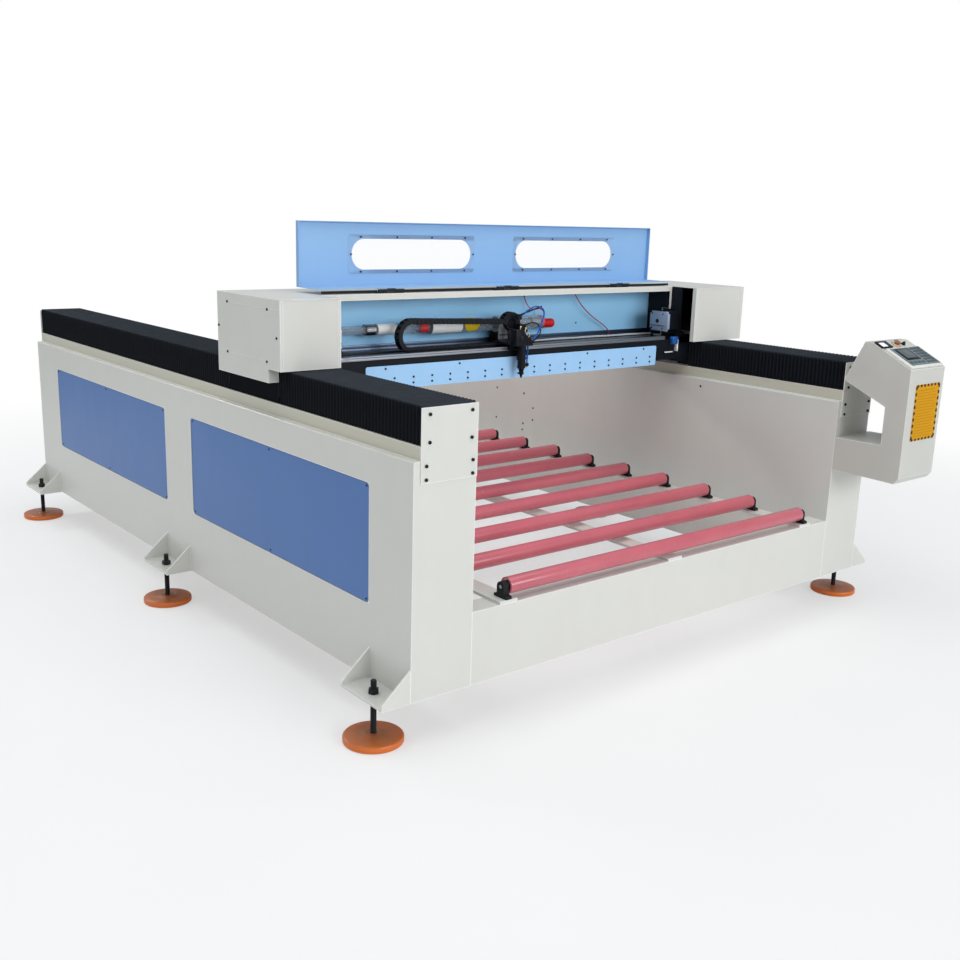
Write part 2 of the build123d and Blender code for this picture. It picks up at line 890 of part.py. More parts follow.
def top_cover():
    """Long roof sheet between the end covers, with a lip in front and a back wall."""
    x0, x1 = across(left_cover_inner), across(right_cover_inner)
    y0, y1 = along(top_cover_front), along(gantry_rear)
    outline = [(y0, cover_top - top_cover_lip), (y0 + sheet, cover_top - top_cover_lip),
               (y0 + sheet, cover_top - sheet), (y1 - sheet, cover_top - sheet),
               (y1 - sheet, top_cover_rear_bottom), (y1, top_cover_rear_bottom), (y1, cover_top),
               (y0, cover_top)]
    return prism_x(outline, x0, x1)


def back_panel():
    """Blue panel behind the tube, and the tray sheet that it stands on."""
    x0, x1 = across(left_cover_inner), across(right_cover_inner)
    y = along(back_panel_setback)
    roof = cover_top - sheet
    bend = y + back_panel_flange
    panel = prism_x([(y, back_panel_bottom), (y + sheet, back_panel_bottom), (y + sheet, roof - sheet),
                     (bend, roof - sheet), (bend, roof), (y, roof)], x0, x1)
    tray_front = along(beam_front + beam_depth - tray_overlap)
    tray_top = beam_top + sheet
    tray = prism_x([(tray_front, beam_top), (y + sheet, beam_top), (y + sheet, back_panel_bottom),
                    (y, back_panel_bottom), (y, back_panel_bottom + tray_lip),
                    (y - sheet, back_panel_bottom + tray_lip), (y - sheet, tray_top),
                    (tray_front, tray_top)], x0, x1)
    return [panel, tray]


# Laser tube

def laser_tube():
    """Glass jacket with a narrower neck and tail, the bore tube inside it and two end caps."""
    y, z = along(tube_setback), tube_height
    length = tube_end - tube_start
    start = across(tube_start)
    steps = [(tail_radius, 0), (tail_radius, neck_start - tube_start),
             (neck_radius, neck_start - tube_start + shoulder), (neck_radius, neck_end - tube_start),
             (tube_radius, neck_end - tube_start + shoulder), (tube_radius, length)]
    inside = [(radius - tube_wall, place) for radius, place in steps]
    jacket = along_x(start, y, z, turned(steps + inside[::-1]))
    core = rod((start + cap_plug, y, z), (1, 0, 0), inner_tube_radius, length - 2 * cap_plug)
    core -= rod((start, y, z), (1, 0, 0), inner_tube_radius - inner_tube_wall, length)
    plug = tube_radius - tube_wall - tube_seat_gap
    red_plug = turned([(0, -cap_plug), (plug, -cap_plug), (plug, 2), (0, 2)])
    red_cap = turned([(0, 1), (cap_radius + 1, 1), (cap_radius + 1, 8), (cap_radius, 10),
                      (cap_radius, cap_length - 10), (cap_radius - 4, cap_length - 3),
                      (cap_radius - 9, cap_length), (0, cap_length)])
    plug = tail_radius - tube_wall - tube_seat_gap
    window_cap = turned([(0, -cap_plug), (plug, -cap_plug), (plug, 0),
                         (tail_radius + window_cap_rim, 0),
                         (tail_radius + window_cap_rim, window_cap_length),
                         (window_nose, window_cap_length + window_cap_rim),
                         (window_nose, window_nose_length), (window_bore, window_nose_length),
                         (window_bore, cap_plug + window_cap_rim), (0, cap_plug + window_cap_rim)])
    end = across(tube_end)
    right = along_x(end, y, z, red_plug) + along_x(end, y, z - cap_drop, red_cap)
    left = Pos(start, y, z) * Rot(0, -90, 0) * window_cap
    return [jacket, core, right, left]


def tube_clamp(place, radius):
    """One clamp: a foot on the tray, a post on each side and a ring round the tube."""
    y, z = along(tube_setback), tube_height
    x0 = across(place)
    x1 = x0 + clamp_width
    base = beam_top + sheet
    half = radius + clamp_band
    outer = half + clamp_foot
    body = slab(x0, x1, y - outer, y + outer, base, base + clamp_foot_height)
    for y0 in (y - half, y + half - clamp_post):
        body += slab(x0, x1, y0, y0 + clamp_post, base, z)
    body += rod((x0, y, z), (1, 0, 0), half, clamp_width)
    return body - rod((x0 - 1, y, z), (1, 0, 0), radius + tube_seat_gap, clamp_width + 2)


def tube_clamps():
    """White clamps that hold the tube over the tray, by its tail and near its right end."""
    return [tube_clamp(left_clamp, tail_radius), tube_clamp(right_clamp, tube_radius)]


def mirror_mounts():
    """Two turning mirrors inside the left cover, on posts over the saddle."""
    pieces = []
    x = across(mirror_place)
    foot_top = saddle_top + mirror_foot_height
    post_half = mirror_post / 2
    for place, turn in ((tube_setback, 1), (beam_front + second_mirror, -1)):
        y = along(place)
        foot = slab(x - mirror_foot_width / 2, x + mirror_foot_width / 2, y - mirror_foot_depth / 2,
                    y + mirror_foot_depth / 2, saddle_top, foot_top)
        post = slab(x - post_half, x + post_half, y - post_half, y + post_half, foot_top,
                    tube_height - mirror_frame / 2)
        facing = Pos(x, y, tube_height) * Rot(0, 0, 45 * turn)
        frame = facing * Box(mirror_frame_thickness, mirror_frame, mirror_frame)
        face = (mirror_frame_thickness + mirror_thickness) / 2
        glass = facing * Pos(face, 0, 0) * Rot(0, 90, 0) * Cylinder(mirror_radius, mirror_thickness)
        pieces.append(foot + post + frame)
        pieces.append(glass)
    return pieces


# Drives

def pinion_axis():
    """Height of the drive shaft, with the pinions just clear of the racks."""
    return bed_top + rack_height + pinion_pitch_radius + tooth_height / 2 + running_gap


def toothed_wheel(teeth, pitch_radius, height, width):
    """Spur gear with straight-sided teeth, its axis on Z."""
    tip = pitch_radius + height / 2
    root = pitch_radius - height / 2
    step = 2 * math.pi / teeth
    outline = []
    for tooth in range(teeth):
        for radius, share in ((root, -0.36), (tip, -0.16), (tip, 0.16), (root, 0.36)):
            angle = (tooth + share) * step
            outline.append((radius * math.cos(angle), radius * math.sin(angle)))
    return extrude(make_face(Polyline(*outline, close=True)), width)


def flanged_pulley(radius, width):
    """Belt pulley with a flange at each end, its axis on Z from 0."""
    rim = radius + 3
    return turned([(0, 0), (rim, 0), (rim, 1.5), (radius, 2.5), (radius, width - 2.5),
                   (rim, width - 1.5), (rim, width), (0, width)])


def along_x(x, y, z, body):
    """Turn a body that stands on Z so that it points along X, and place it."""
    return Pos(x, y, z) * Rot(0, 90, 0) * body


def drive_belt_x():
    """Start of the drive belt's pulleys on X, inside the right cover."""
    return cheek_range(1)[1] + pulley_from_cheek


def drive_shaft():
    """Cross shaft with a pinion over each rack and the large belt pulley."""
    y, z = along(shaft_setback), pinion_axis()
    left, right = rack_lines()
    end = pinion_width / 2 + 8
    shaft = rod((left - end, y, z), (1, 0, 0), shaft_radius, right - left + 2 * end)
    wheel = toothed_wheel(pinion_teeth, pinion_pitch_radius, tooth_height, pinion_width)
    for x in (left, right):
        shaft += along_x(x - pinion_width / 2, y, z, wheel)
    return shaft + along_x(drive_belt_x(), y, z, flanged_pulley(shaft_pulley_radius, pulley_width))


def motor_pulley():
    """Motor shaft with its small pulley."""
    y, z = along(motor_setback), motor_height
    x0 = cheek_range(1)[0] - motor_shaft_reach
    x1 = drive_belt_x() + pulley_width
    shaft = rod((x0, y, z), (1, 0, 0), motor_shaft_radius, x1 - x0)
    return shaft + along_x(drive_belt_x(), y, z, flanged_pulley(motor_pulley_radius, pulley_width))


def belt_loop(first, first_radius, second, second_radius, thickness):
    """Closed belt outline round two circles, as a flat face."""
    def hull(extra):
        start = Pos(*first) * Circle(first_radius + extra)
        end = Pos(*second) * Circle(second_radius + extra)
        return make_hull(start.edges() + end.edges())
    return hull(running_gap + thickness) - hull(running_gap)


def drive_belt():
    """Belt from the motor pulley to the shaft pulley."""
    face = belt_loop((along(motor_setback), motor_height), motor_pulley_radius,
                     (along(shaft_setback), pinion_axis()), shaft_pulley_radius, belt_thickness)
    width = pulley_width - 6
    return extrude(Plane.YZ.offset(drive_belt_x() + 3) * face, width)


def head_pulley_places():
    """X of the head belt's two pulleys, one inside each end cover."""
    return [cheek_range(-1)[0] - head_pulley_from_cheek, cheek_range(1)[1] + head_pulley_from_cheek]


def head_belt():
    """Endless belt that pulls the head along the beam."""
    left, right = head_pulley_places()
    face = belt_loop((left, head_belt_axis), head_pulley_radius,
                     (right, head_belt_axis), head_pulley_radius, head_belt_thickness)
    y1 = along(head_belt_setback) + head_belt_width
    plane = Plane((0, y1, 0), x_dir=(1, 0, 0), z_dir=(0, -1, 0))
    return extrude(plane * face, head_belt_width)


def head_pulley(x, shaft_front, shaft_back):
    """Pulley of the head belt on its own pin along Y."""
    y = along(head_belt_setback) - 3
    wheel = flanged_pulley(head_pulley_radius, head_belt_width + 6)
    pulley = Pos(x, y, head_belt_axis) * Rot(-90, 0, 0) * wheel
    return pulley + rod((x, y - shaft_front, head_belt_axis), (0, 1, 0), 4,
                        shaft_front + head_belt_width + 6 + shaft_back)


def head_pulley_bracket(x):
    """Post on the saddle that holds the idler pulley's pin."""
    y0 = along(head_belt_setback) + head_belt_width + 4
    post = slab(x - 14, x + 14, y0, y0 + 10, saddle_top, head_belt_axis + 14)
    return post - rod((x, y0 - 1, head_belt_axis), (0, 1, 0), 4 + fit_gap, 12)


def motor_body(size, length, corner, shaft_radius_here, shaft_depth):
    """Square motor with clipped corners on Z from 0, its shaft side up."""
    half = size / 2
    clip = half - corner
    outline = [(-clip, -half), (clip, -half), (half, -clip), (half, clip), (clip, half),
               (-clip, half), (-half, clip), (-half, -clip)]
    body = extrude(make_face(Polyline(*outline, close=True)), length)
    waist = extrude(make_face(Polyline(*[(x * 0.97, y * 0.97) for x, y in outline], close=True)),
                    length * 0.5)
    rings = Pos(0, 0, length * 0.28) * (extrude(Rectangle(size * 2, size * 2), length * 0.5) - waist)
    body -= rings
    body -= Pos(0, 0, length - shaft_depth) * Cylinder(shaft_radius_here + fit_gap, shaft_depth * 2,
                                                      align=standing)
    return body - Cylinder(6, 12)


def drive_motors():
    """Gantry motor beside the beam and head motor inside the left cover."""
    x0 = cheek_range(1)[0] - motor_length
    large = motor_body(motor_size, motor_length, motor_corner, motor_shaft_radius,
                       motor_shaft_hole)
    pieces = [along_x(x0, along(motor_setback), motor_height, large)]
    left, right = head_pulley_places()
    small = motor_body(head_motor_size, head_motor_length, head_motor_corner, head_motor_shaft,
                       motor_shaft_hole)
    front = along(head_belt_setback) + head_belt_width + head_motor_gap
    pieces.append(Pos(left, front + head_motor_length, head_belt_axis) * Rot(90, 0, 0) * small)
    riser_top = head_belt_axis - head_motor_size / 2
    pieces.append(slab(left - head_motor_foot / 2, left + head_motor_foot / 2,
                       front + head_motor_gap, front + head_motor_length - head_motor_gap,
                       saddle_top, riser_top))
    pieces.append(head_pulley_bracket(right))
    return pieces


def limit_switch():
    """Blue switch at the end of the head's travel, on a white angle."""
    x0 = across(switch_place)
    x1 = x0 + switch_margin
    y0 = along(beam_front)
    y1 = y0 - switch_angle_thickness
    angle = slab(x0, x0 + switch_angle_width, y1, y0, beam_top - switch_angle_drop,
                 beam_top + switch_angle_rise)
    body = slab(x1, x1 + switch_width, y1 - switch_depth, y1, beam_top - switch_drop,
                beam_top + switch_rise)
    arm_front = y1 - switch_arm_inset - switch_arm_depth
    arm = slab(x1 - switch_arm, x1, arm_front, arm_front + switch_arm_depth,
               beam_top + switch_arm_rise, beam_top + switch_arm_rise + switch_arm_thickness)
    return [angle, body + arm]


# Hood

def hood_edges():
    """Ends of the hood on X, between the end covers."""
    return across(left_cover_inner) + hood_left_gap, across(right_cover_inner) - hood_right_gap


def window_centres():
    """Centres of the two windows on X."""
    x0, x1 = hood_edges()
    middle = (x0 + x1) / 2
    return [middle - window_spacing / 2, middle + window_spacing / 2]


def hood():
    """Folded hood, swung open: a flange over the roof and an upright wall with folded rims."""
    x0, x1 = hood_edges()
    hinge_y, back = along(hinge_setback), along(hood_back)
    base = hinge_height + hood_lift
    wall = slab(x0, x1, back - sheet, back, base, hood_top)
    flange = slab(x0, x1, hinge_y, back, base, base + sheet)
    rim_top = slab(x0, x1, back - hood_fold, back, hood_top - sheet, hood_top)
    left = slab(x0, x0 + sheet, back - hood_fold, back, base, hood_top)
    right = slab(x1 - sheet, x1, back - hood_fold, back, base, hood_top)
    shell = wall + flange + rim_top + left + right
    for x in window_centres():
        shell -= plate_facing_y(x, window_centre_height, window_length, window_height,
                                window_height / 2 - 0.5, back - 2 * sheet, back + sheet)
    leaves = []
    for place in hinge_places:
        x = across(place)
        leaf = slab(x - hinge_length / 2, x + hinge_length / 2, hinge_y + 1,
                    hinge_y + hinge_leaf_depth, base - hinge_leaf, base)
        knuckle = rod((x - hinge_length / 6, hinge_y, hinge_height), (1, 0, 0), hinge_barrel,
                      hinge_length / 3)
        web = slab(x - hinge_length / 6, x + hinge_length / 6, hinge_y, hinge_y + 4,
                   hinge_height, base)
        leaf += knuckle + web
        leaf -= rod((x - hinge_length, hinge_y, hinge_height), (1, 0, 0), hinge_pin + fit_gap,
                    hinge_length * 2)
        leaves.append(leaf)
    return [shell] + leaves


def hood_windows():
    """Clear panes on the inner face of the hood."""
    back = along(hood_back) - sheet
    width = window_length + 2 * pane_margin
    height = window_height + 2 * pane_margin
    return [plate_facing_y(x, window_centre_height, width, height, 10, back - pane_thickness, back)
            for x in window_centres()]


def hood_hinges():
    """Fixed leaves, outer knuckles and pins of the hood's hinges."""
    hinge_y = along(hinge_setback)
    pieces = []
    for place in hinge_places:
        x0 = across(place) - hinge_length / 2
        leaf = slab(x0, x0 + hinge_length, hinge_y, hinge_y + hinge_leaf_depth,
                    cover_top, cover_top + hinge_leaf)
        third = hinge_length / 3 - running_gap
        for start in (x0, x0 + hinge_length - third):
            leaf += rod((start, hinge_y, hinge_height), (1, 0, 0), hinge_barrel, third)
            leaf += slab(start, start + third, hinge_y, hinge_y + hinge_barrel, cover_top,
                         hinge_height)
        leaf += rod((x0, hinge_y, hinge_height), (1, 0, 0), hinge_pin, hinge_length)
        pieces.append(leaf)
    return pieces


# Cutting head

def head_carriage():
    """Slide block, angle plate, mirror block, nozzle holder, hose tower and chain hoop."""
    block = Rot(0, 0, -90) * slide_block(0, 0, 0, slide_block_length, slide_block_width,
                                       head_block_height)
    block_y = along(beam_front + head_rail_setback + rail_width / 2)
    block = Pos(across(head_centre) - slide_block_length / 2, block_y, beam_top) * block
    x0, x1 = across(head_plate_left), across(hoop_centre + hoop_outer)
    plate_bottom = beam_top + head_block_height
    plate_top = plate_bottom + head_plate_thickness
    y0 = along(head_front_plate)
    plate = slab(x0, x1, y0, along(head_plate_rear), plate_bottom, plate_top)
    plate += slab(across(head_front_plate_left), across(head_front_plate_right), y0,
                  y0 + head_plate_thickness, head_front_plate_bottom, plate_bottom)
    clamp_y = along(head_belt_setback)
    belt_top = head_belt_axis + head_pulley_radius + running_gap + head_belt_thickness
    clamp = slab(across(head_centre) - head_belt_clamp / 2, across(head_centre) + head_belt_clamp / 2,
                 clamp_y,
                 clamp_y + head_belt_width, belt_top, plate_bottom)
    block_left = across(mirror_block_left)
    outline = [(block_left, mirror_block_bottom), (block_left, mirror_block_top),
               (across(mirror_block_crest), mirror_block_top),
               (across(mirror_block_right), mirror_block_low),
               (across(mirror_block_right), mirror_block_bottom)]
    mirror_block = prism_y(outline, along(mirror_block_front), y0)
    centre = (across(head_centre), along(nozzle_setback))
    mirror_block += rod((across(air_port_start), centre[1] + 2, air_port_height), (1, 0, 0),
                        air_port_radius, air_port_end - air_port_start)
    collar = rod((*centre, collar_bottom), (0, 0, 1), collar_radius, mirror_block_bottom - collar_bottom)
    collar -= rod((*centre, collar_bottom - 1), (0, 0, 1), focus_radius + fit_gap,
                  focus_bore_top - collar_bottom + 1)
    fitting = slab(centre[0] + collar_radius - 2, centre[0] + collar_radius + 18,
                   centre[1] - 5, centre[1] + 5, collar_bottom + 6, collar_bottom + 18)
    collar += fitting
    hoop_x = across(hoop_centre)
    hoop_height = chain_upper_bottom() - chain_fall - hoop_margin
    tower = slab(hoop_x + hoop_inner, x1, along(tower_front), along(chain_rear), plate_top,
                 hoop_height)
    half_ring = Cylinder(hoop_outer, chain_width) - Cylinder(hoop_inner, 2 * chain_width)
    half_ring &= slab(hoop_flat - hoop_outer, hoop_outer + 1, 0, hoop_outer + 1, -chain_width,
                      chain_width)
    hoop = Pos(hoop_x, along(chain_front) + chain_width / 2, hoop_height) * Rot(90, 0, 0) * half_ring
    return [block, plate, clamp, mirror_block, collar, tower, hoop]


def focus_tube():
    """Lens tube and nozzle that slide in the holder to set the focus."""
    outline = [(0, nozzle_tip), (nozzle_tip_radius, nozzle_tip),
               (nozzle_tip_radius + 1, nozzle_tip + 4), (focus_radius - 1, focus_bottom),
               (focus_radius, focus_bottom + 2), (focus_radius, focus_top), (0, focus_top)]
    return Pos(across(head_centre), along(nozzle_setback), 0) * turned(outline)


# Drag chain

def chain_run(x0, x1, z0, fall):
    """Run of links with a groove between each two, sinking by so much from left to right."""
    links = round((x1 - x0) / link_pitch)
    step = (x1 - x0) / links
    half = link_groove / 2

    def spot(x, lift):
        return (x, z0 + lift - fall * (x - x0) / (x1 - x0))

    low_root, high_root = link_groove_depth, link_height - link_groove_depth
    lower = [spot(x0, low_root)]
    upper = [spot(x0, high_root)]
    for link in range(links):
        start, end = x0 + link * step + half, x0 + (link + 1) * step - half
        lower += [spot(start, low_root), spot(start, 0), spot(end, 0), spot(end, low_root)]
        upper += [spot(start, high_root), spot(start, link_height), spot(end, link_height),
                  spot(end, high_root)]
    lower.append(spot(x1, low_root))
    upper.append(spot(x1, high_root))
    y0 = along(chain_front)
    return prism_y(lower + upper[::-1], y0, y0 + chain_width)


def chain_upper_bottom():
    """Underside of the upper run."""
    return chain_bottom + 2 * chain_bend_radius - link_height


def chain_bend():
    """Half turn of straight links at the left end of the chain."""
    x = across(chain_bend_centre)
    z = chain_bottom + chain_bend_radius
    inner_radius = chain_bend_radius - link_height
    step = math.pi / chain_bend_links

    def spot(radius, angle):
        return (x + radius * math.cos(angle), z + radius * math.sin(angle))

    outer = []
    inner = []
    for link in range(chain_bend_links):
        start = math.pi / 2 + link * step
        outer.append(spot(chain_bend_radius - link_groove_depth, start))
        for share in (link_groove_share, 1 - link_groove_share):
            outer.append(spot(chain_bend_radius, start + share * step))
            inner.append(spot(inner_radius, start + share * step))
    outer.append(spot(chain_bend_radius - link_groove_depth, 3 * math.pi / 2))
    ends = [spot(inner_radius, 3 * math.pi / 2), spot(inner_radius, math.pi / 2)]
    y0 = along(chain_front)
    return prism_y(outer + ends[:1] + inner[::-1] + ends[1:], y0, y0 + chain_width)


# Hoses and leads

def from_corner(points):
    """Hand-picked points, measured from the left wall and the front face, to the machine's frame."""
    return [(across(x), along(y), z) for x, y, z in points]


def head_hoses():
    """Air hose up to the head, its loop to the chain hoop, and the sensor cable beside it."""
    lower_hose = [(1083, 760, 990), (1083, 760, 1008), (1086, 761, 1034), (1086, 761, 1058)]
    loop_hose = [(1104, 762, 1084), (1121, 762, 1084), (1143, 767, 1106), (1164, 775, 1138),
                 (1186, 784, 1166), (1193, 795, 1191), (1168, 807, 1205), (1138, 818, 1192),
                 (1112, 832, 1164), (1112, 862, 1164)]
    cable = [(1134, 806, 1067), (1154, 806, 1067), (1184, 811, 1080), (1208, 822, 1104),
             (1206, 842, 1132), (1184, 862, 1134), (1160, 878, 1116), (1134, 878, 1116)]
    return [tube_along(from_corner(lower_hose), hose_diameter, "air hose below"),
            tube_along(from_corner(loop_hose), hose_diameter, "air hose loop"),
            tube_along(from_corner(cable), cable_diameter, "sensor cable")]


def gantry_wiring():
    """High-voltage leads from the roof to the tube's cap and to the tray."""
    first = [(1251, 984, 1260), (1251, 984, 1238), (1255, 981, 1216), (1264, 976, 1192),
             (1278, 970, 1176), (1296, 963, 1172), (1314, 957, 1177), (1329, 953, 1173),
             (1337, 950, 1158), (1337, 950, 1136)]
    second = [(1524, 974, 1260), (1524, 974, 1238), (1542, 973, 1214), (1568, 972, 1184),
              (1602, 972, 1156), (1642, 974, 1130), (1684, 977, 1108), (1720, 978, 1090),
              (1744, 977, 1070), (1752, 976, 1052), (1752, 976, 1038)]
    return [tube_along(from_corner(first), lead_diameter, "cap lead"),
            tube_along(from_corner(second), lead_diameter, "return lead")]


# Files

nodes = {}
left_wall = side_wall(left_face) - panel_pocket_cut(left_face, -1)
right_wall = side_wall(right_inner) - panel_pocket_cut(right_face, 1)
nodes["left_wall"] = [left_wall]
nodes["right_wall"] = [right_wall]
nodes["crossbeams"] = [crossbeam(front_face, 1), crossbeam(rear_face, -1)]
nodes["side_panels"] = side_panels(left_face, -1) + side_panels(right_face, 1)
nodes["foot_brackets"] = [foot_bracket(side, start, centre) for side, start, centre in foot_places()]
nodes["foot_screws"] = [piece for side, _, centre in foot_places() for piece in foot_screw(side, centre)]
nodes["foot_pads"] = [foot_pad(side, centre) for side, _, centre in foot_places()]
nodes["rails_and_racks"] = bed_rails_and_racks()
nodes["end_plates"] = end_plates()
nodes["front_bellows"] = bellows_pair(0, beam_front)
nodes["rear_bellows"] = bellows_pair(gantry_rear, bed_length)
nodes["bed_bars"] = bed_bars()
nodes["roller_blocks"] = [roller_block(x, y) for y in roller_places()
                          for x in (bar_lines()[0], bar_lines()[2])]
for number, y in enumerate(roller_places(), start=1):
    nodes[f"roller_{number:02d}"] = [roller(y)]
nodes["control_cabinet"] = [control_cabinet(), estop_collar()]
nodes["cabinet_screens"] = cabinet_screens()
nodes["estop_button"] = [estop_button()]
nodes["key_switch"] = [key_switch()]
nodes["gantry_saddles"] = gantry_saddles()
nodes["gantry_beam"] = [gantry_beam()]
nodes["head_rail"] = [head_rail()]
nodes["beam_skirt"] = [beam_skirt()]
nodes["left_end_cover"] = [end_cover(-1)]
nodes["right_end_cover"] = [end_cover(1)]
nodes["top_cover"] = [top_cover()]
nodes["back_panel"] = back_panel()
nodes["laser_tube"] = laser_tube()
nodes["tube_clamps"] = tube_clamps()
nodes["mirror_mounts"] = mirror_mounts()
nodes["drive_shaft"] = [drive_shaft()]
nodes["motor_pulley"] = [motor_pulley()]
nodes["drive_belt"] = [drive_belt()]
nodes["head_belt"] = [head_belt()]
nodes["head_drive_pulley"] = [head_pulley(head_pulley_places()[0], 0, 20)]
nodes["head_idler_pulley"] = [head_pulley(head_pulley_places()[1], 0, 10)]
nodes["drive_motors"] = drive_motors()
nodes["limit_switch"] = limit_switch()
nodes["hood"] = hood()
nodes["hood_windows"] = hood_windows()
nodes["hood_hinges"] = hood_hinges()
nodes["head_carriage"] = head_carriage()
nodes["focus_tube"] = [focus_tube()]
chain_start = across(chain_bend_centre)
hoop_face = across(hoop_centre - hoop_outer + hoop_flat)
nodes["chain_lower_run"] = [chain_run(chain_start, across(chain_anchor), chain_bottom, 0)]
nodes["chain_upper_run"] = [chain_run(chain_start, hoop_face, chain_upper_bottom(), chain_fall)]
nodes["chain_bend"] = [chain_bend()]
nodes["head_hoses"] = head_hoses()
nodes["gantry_wiring"] = gantry_wiring()

os.makedirs("parts", exist_ok=True)
for name, pieces in nodes.items():
    solids = [solid for piece in pieces for solid in piece.solids()]
    export_step(Compound(children=solids), f"parts/{name}.step")
print("nodes", len(nodes))
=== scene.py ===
"""Looks of the carbon dioxide laser cutting machine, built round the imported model."""
import bmesh
import bpy
import contextlib
import json
import math
from mathutils import Euler, Matrix, Vector


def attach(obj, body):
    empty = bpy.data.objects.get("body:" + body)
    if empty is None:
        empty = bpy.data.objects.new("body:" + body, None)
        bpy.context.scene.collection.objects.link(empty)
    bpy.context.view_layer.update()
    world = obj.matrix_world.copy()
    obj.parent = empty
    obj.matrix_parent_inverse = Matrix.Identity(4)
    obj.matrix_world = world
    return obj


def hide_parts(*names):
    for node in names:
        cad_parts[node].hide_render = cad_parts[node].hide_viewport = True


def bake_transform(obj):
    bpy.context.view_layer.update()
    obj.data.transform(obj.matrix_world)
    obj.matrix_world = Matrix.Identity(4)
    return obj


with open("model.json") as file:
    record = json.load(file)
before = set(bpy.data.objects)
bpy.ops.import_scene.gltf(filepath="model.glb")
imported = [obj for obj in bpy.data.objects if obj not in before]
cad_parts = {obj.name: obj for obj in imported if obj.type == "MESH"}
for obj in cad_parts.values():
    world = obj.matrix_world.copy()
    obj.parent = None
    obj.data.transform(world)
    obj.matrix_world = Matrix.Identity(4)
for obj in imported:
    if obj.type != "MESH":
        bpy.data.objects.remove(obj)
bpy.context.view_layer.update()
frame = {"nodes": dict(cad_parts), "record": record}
nodes = frame["nodes"]


# Places, all in millimetres from the left wall's outer face, the walls' front and the floor

BED_WIDTH = 2280
BED_LENGTH = 3200
RIGHT_WALL = 2055
SKIN_TOP = 870
END_PLATE = 3
CABINET_REACH = 288
MIDDLE_Y = (BED_LENGTH + END_PLATE - CABINET_REACH) / 2
GANTRY_FRONT = 803
GANTRY_REAR = 1165
BEAM_LEFT = 216.5
BEAM_RIGHT = 2016.5
PANELS = ((223, 1446), (1685, 2930))
PANEL_LOW = 390
PANEL_HIGH = 766


def place(x, y, z):
    """Point in the model's frame, in metres."""
    return Vector(((x - BED_WIDTH / 2) / 1000, (y - MIDDLE_Y) / 1000, z / 1000))


# Mesh tools

def edges_of(verts):
    return list({edge for vert in verts for edge in vert.link_edges})


def round_edges(bm, edges, size, segments=2):
    """Rounds edges by size in millimetres and gives the new corners."""
    return bmesh.ops.bevel(bm, geom=edges, offset=size / 1000, segments=segments, profile=0.5,
                           affect="EDGES", material=-1)["verts"]


def box(bm, low, high, bevel=0.0, segments=2):
    """Block between two corners, with its edges rounded by bevel in millimetres."""
    low, high = place(*low), place(*high)
    matrix = Matrix.Translation((low + high) / 2) @ Matrix.Diagonal((*(high - low), 1))
    verts = bmesh.ops.create_cube(bm, size=1, matrix=matrix)["verts"]
    return round_edges(bm, edges_of(verts), bevel, segments) if bevel else verts


def along_line(start, end):
    """Matrix that lays a shape's Z axis from start to end, about their middle."""
    line = end - start
    turn = line.to_track_quat("Z", "Y").to_matrix().to_4x4()
    return Matrix.Translation((start + end) / 2) @ turn


def rod(bm, start, end, radius, far_radius=None, sides=24, bevel=0.0):
    """Round bar or cone between two places, radii in millimetres."""
    start, end = place(*start), place(*end)
    far = radius if far_radius is None else far_radius
    verts = bmesh.ops.create_cone(bm, cap_ends=True, segments=sides, radius1=radius / 1000,
                                  radius2=far / 1000, depth=(end - start).length,
                                  matrix=along_line(start, end))["verts"]
    if bevel:
        rims = [edge for edge in edges_of(verts)
                if any(len(face.verts) > 4 for face in edge.link_faces)]
        round_edges(bm, rims, bevel)
    return verts


def turned(bm, centre, outline, axis="Z", sides=32):
    """Body of revolution: outline is pairs of radius and distance along the axis."""
    centre = place(*centre)
    before = set(bm.verts)
    verts = [bm.verts.new((radius / 1000, 0, along / 1000)) for radius, along in outline]
    edges = [bm.edges.new(pair) for pair in zip(verts, verts[1:])]
    bmesh.ops.spin(bm, geom=verts + edges, cent=(0, 0, 0), axis=(0, 0, 1), angle=2 * math.pi,
                   steps=sides, use_merge=True, use_duplicate=False)
    shape = [vert for vert in bm.verts if vert not in before]
    bmesh.ops.remove_doubles(bm, verts=shape, dist=1e-6)
    shape = [vert for vert in bm.verts if vert not in before]
    turns = {"X": Matrix.Rotation(math.pi / 2, 4, "Y"),
             "Y": Matrix.Rotation(-math.pi / 2, 4, "X"), "Z": Matrix.Identity(4)}
    turn = turns[axis] if isinstance(axis, str) else axis
    bmesh.ops.transform(bm, matrix=Matrix.Translation(centre) @ turn, verts=shape)
    faces = list({face for vert in shape for face in vert.link_faces})
    bmesh.ops.recalc_face_normals(bm, faces=faces)
    return shape


def plate(bm, outline, depth, matrix, bevel=0.0):
    """Flat plate with an outline in millimetres, drawn out by depth along the matrix's Z."""
    verts = [bm.verts.new((x / 1000, y / 1000, 0)) for x, y in outline]
    face = bm.faces.new(verts)
    out = bmesh.ops.extrude_face_region(bm, geom=[face])["geom"]
    moved = [item for item in out if isinstance(item, bmesh.types.BMVert)]
    bmesh.ops.translate(bm, verts=moved, vec=(0, 0, depth / 1000))
    every = verts + moved
    bmesh.ops.transform(bm, matrix=matrix, verts=every)
    faces = list({face for vert in every for face in vert.link_faces})
    bmesh.ops.recalc_face_normals(bm, faces=faces)
    if bevel:
        round_edges(bm, edges_of(every), bevel)
    return every


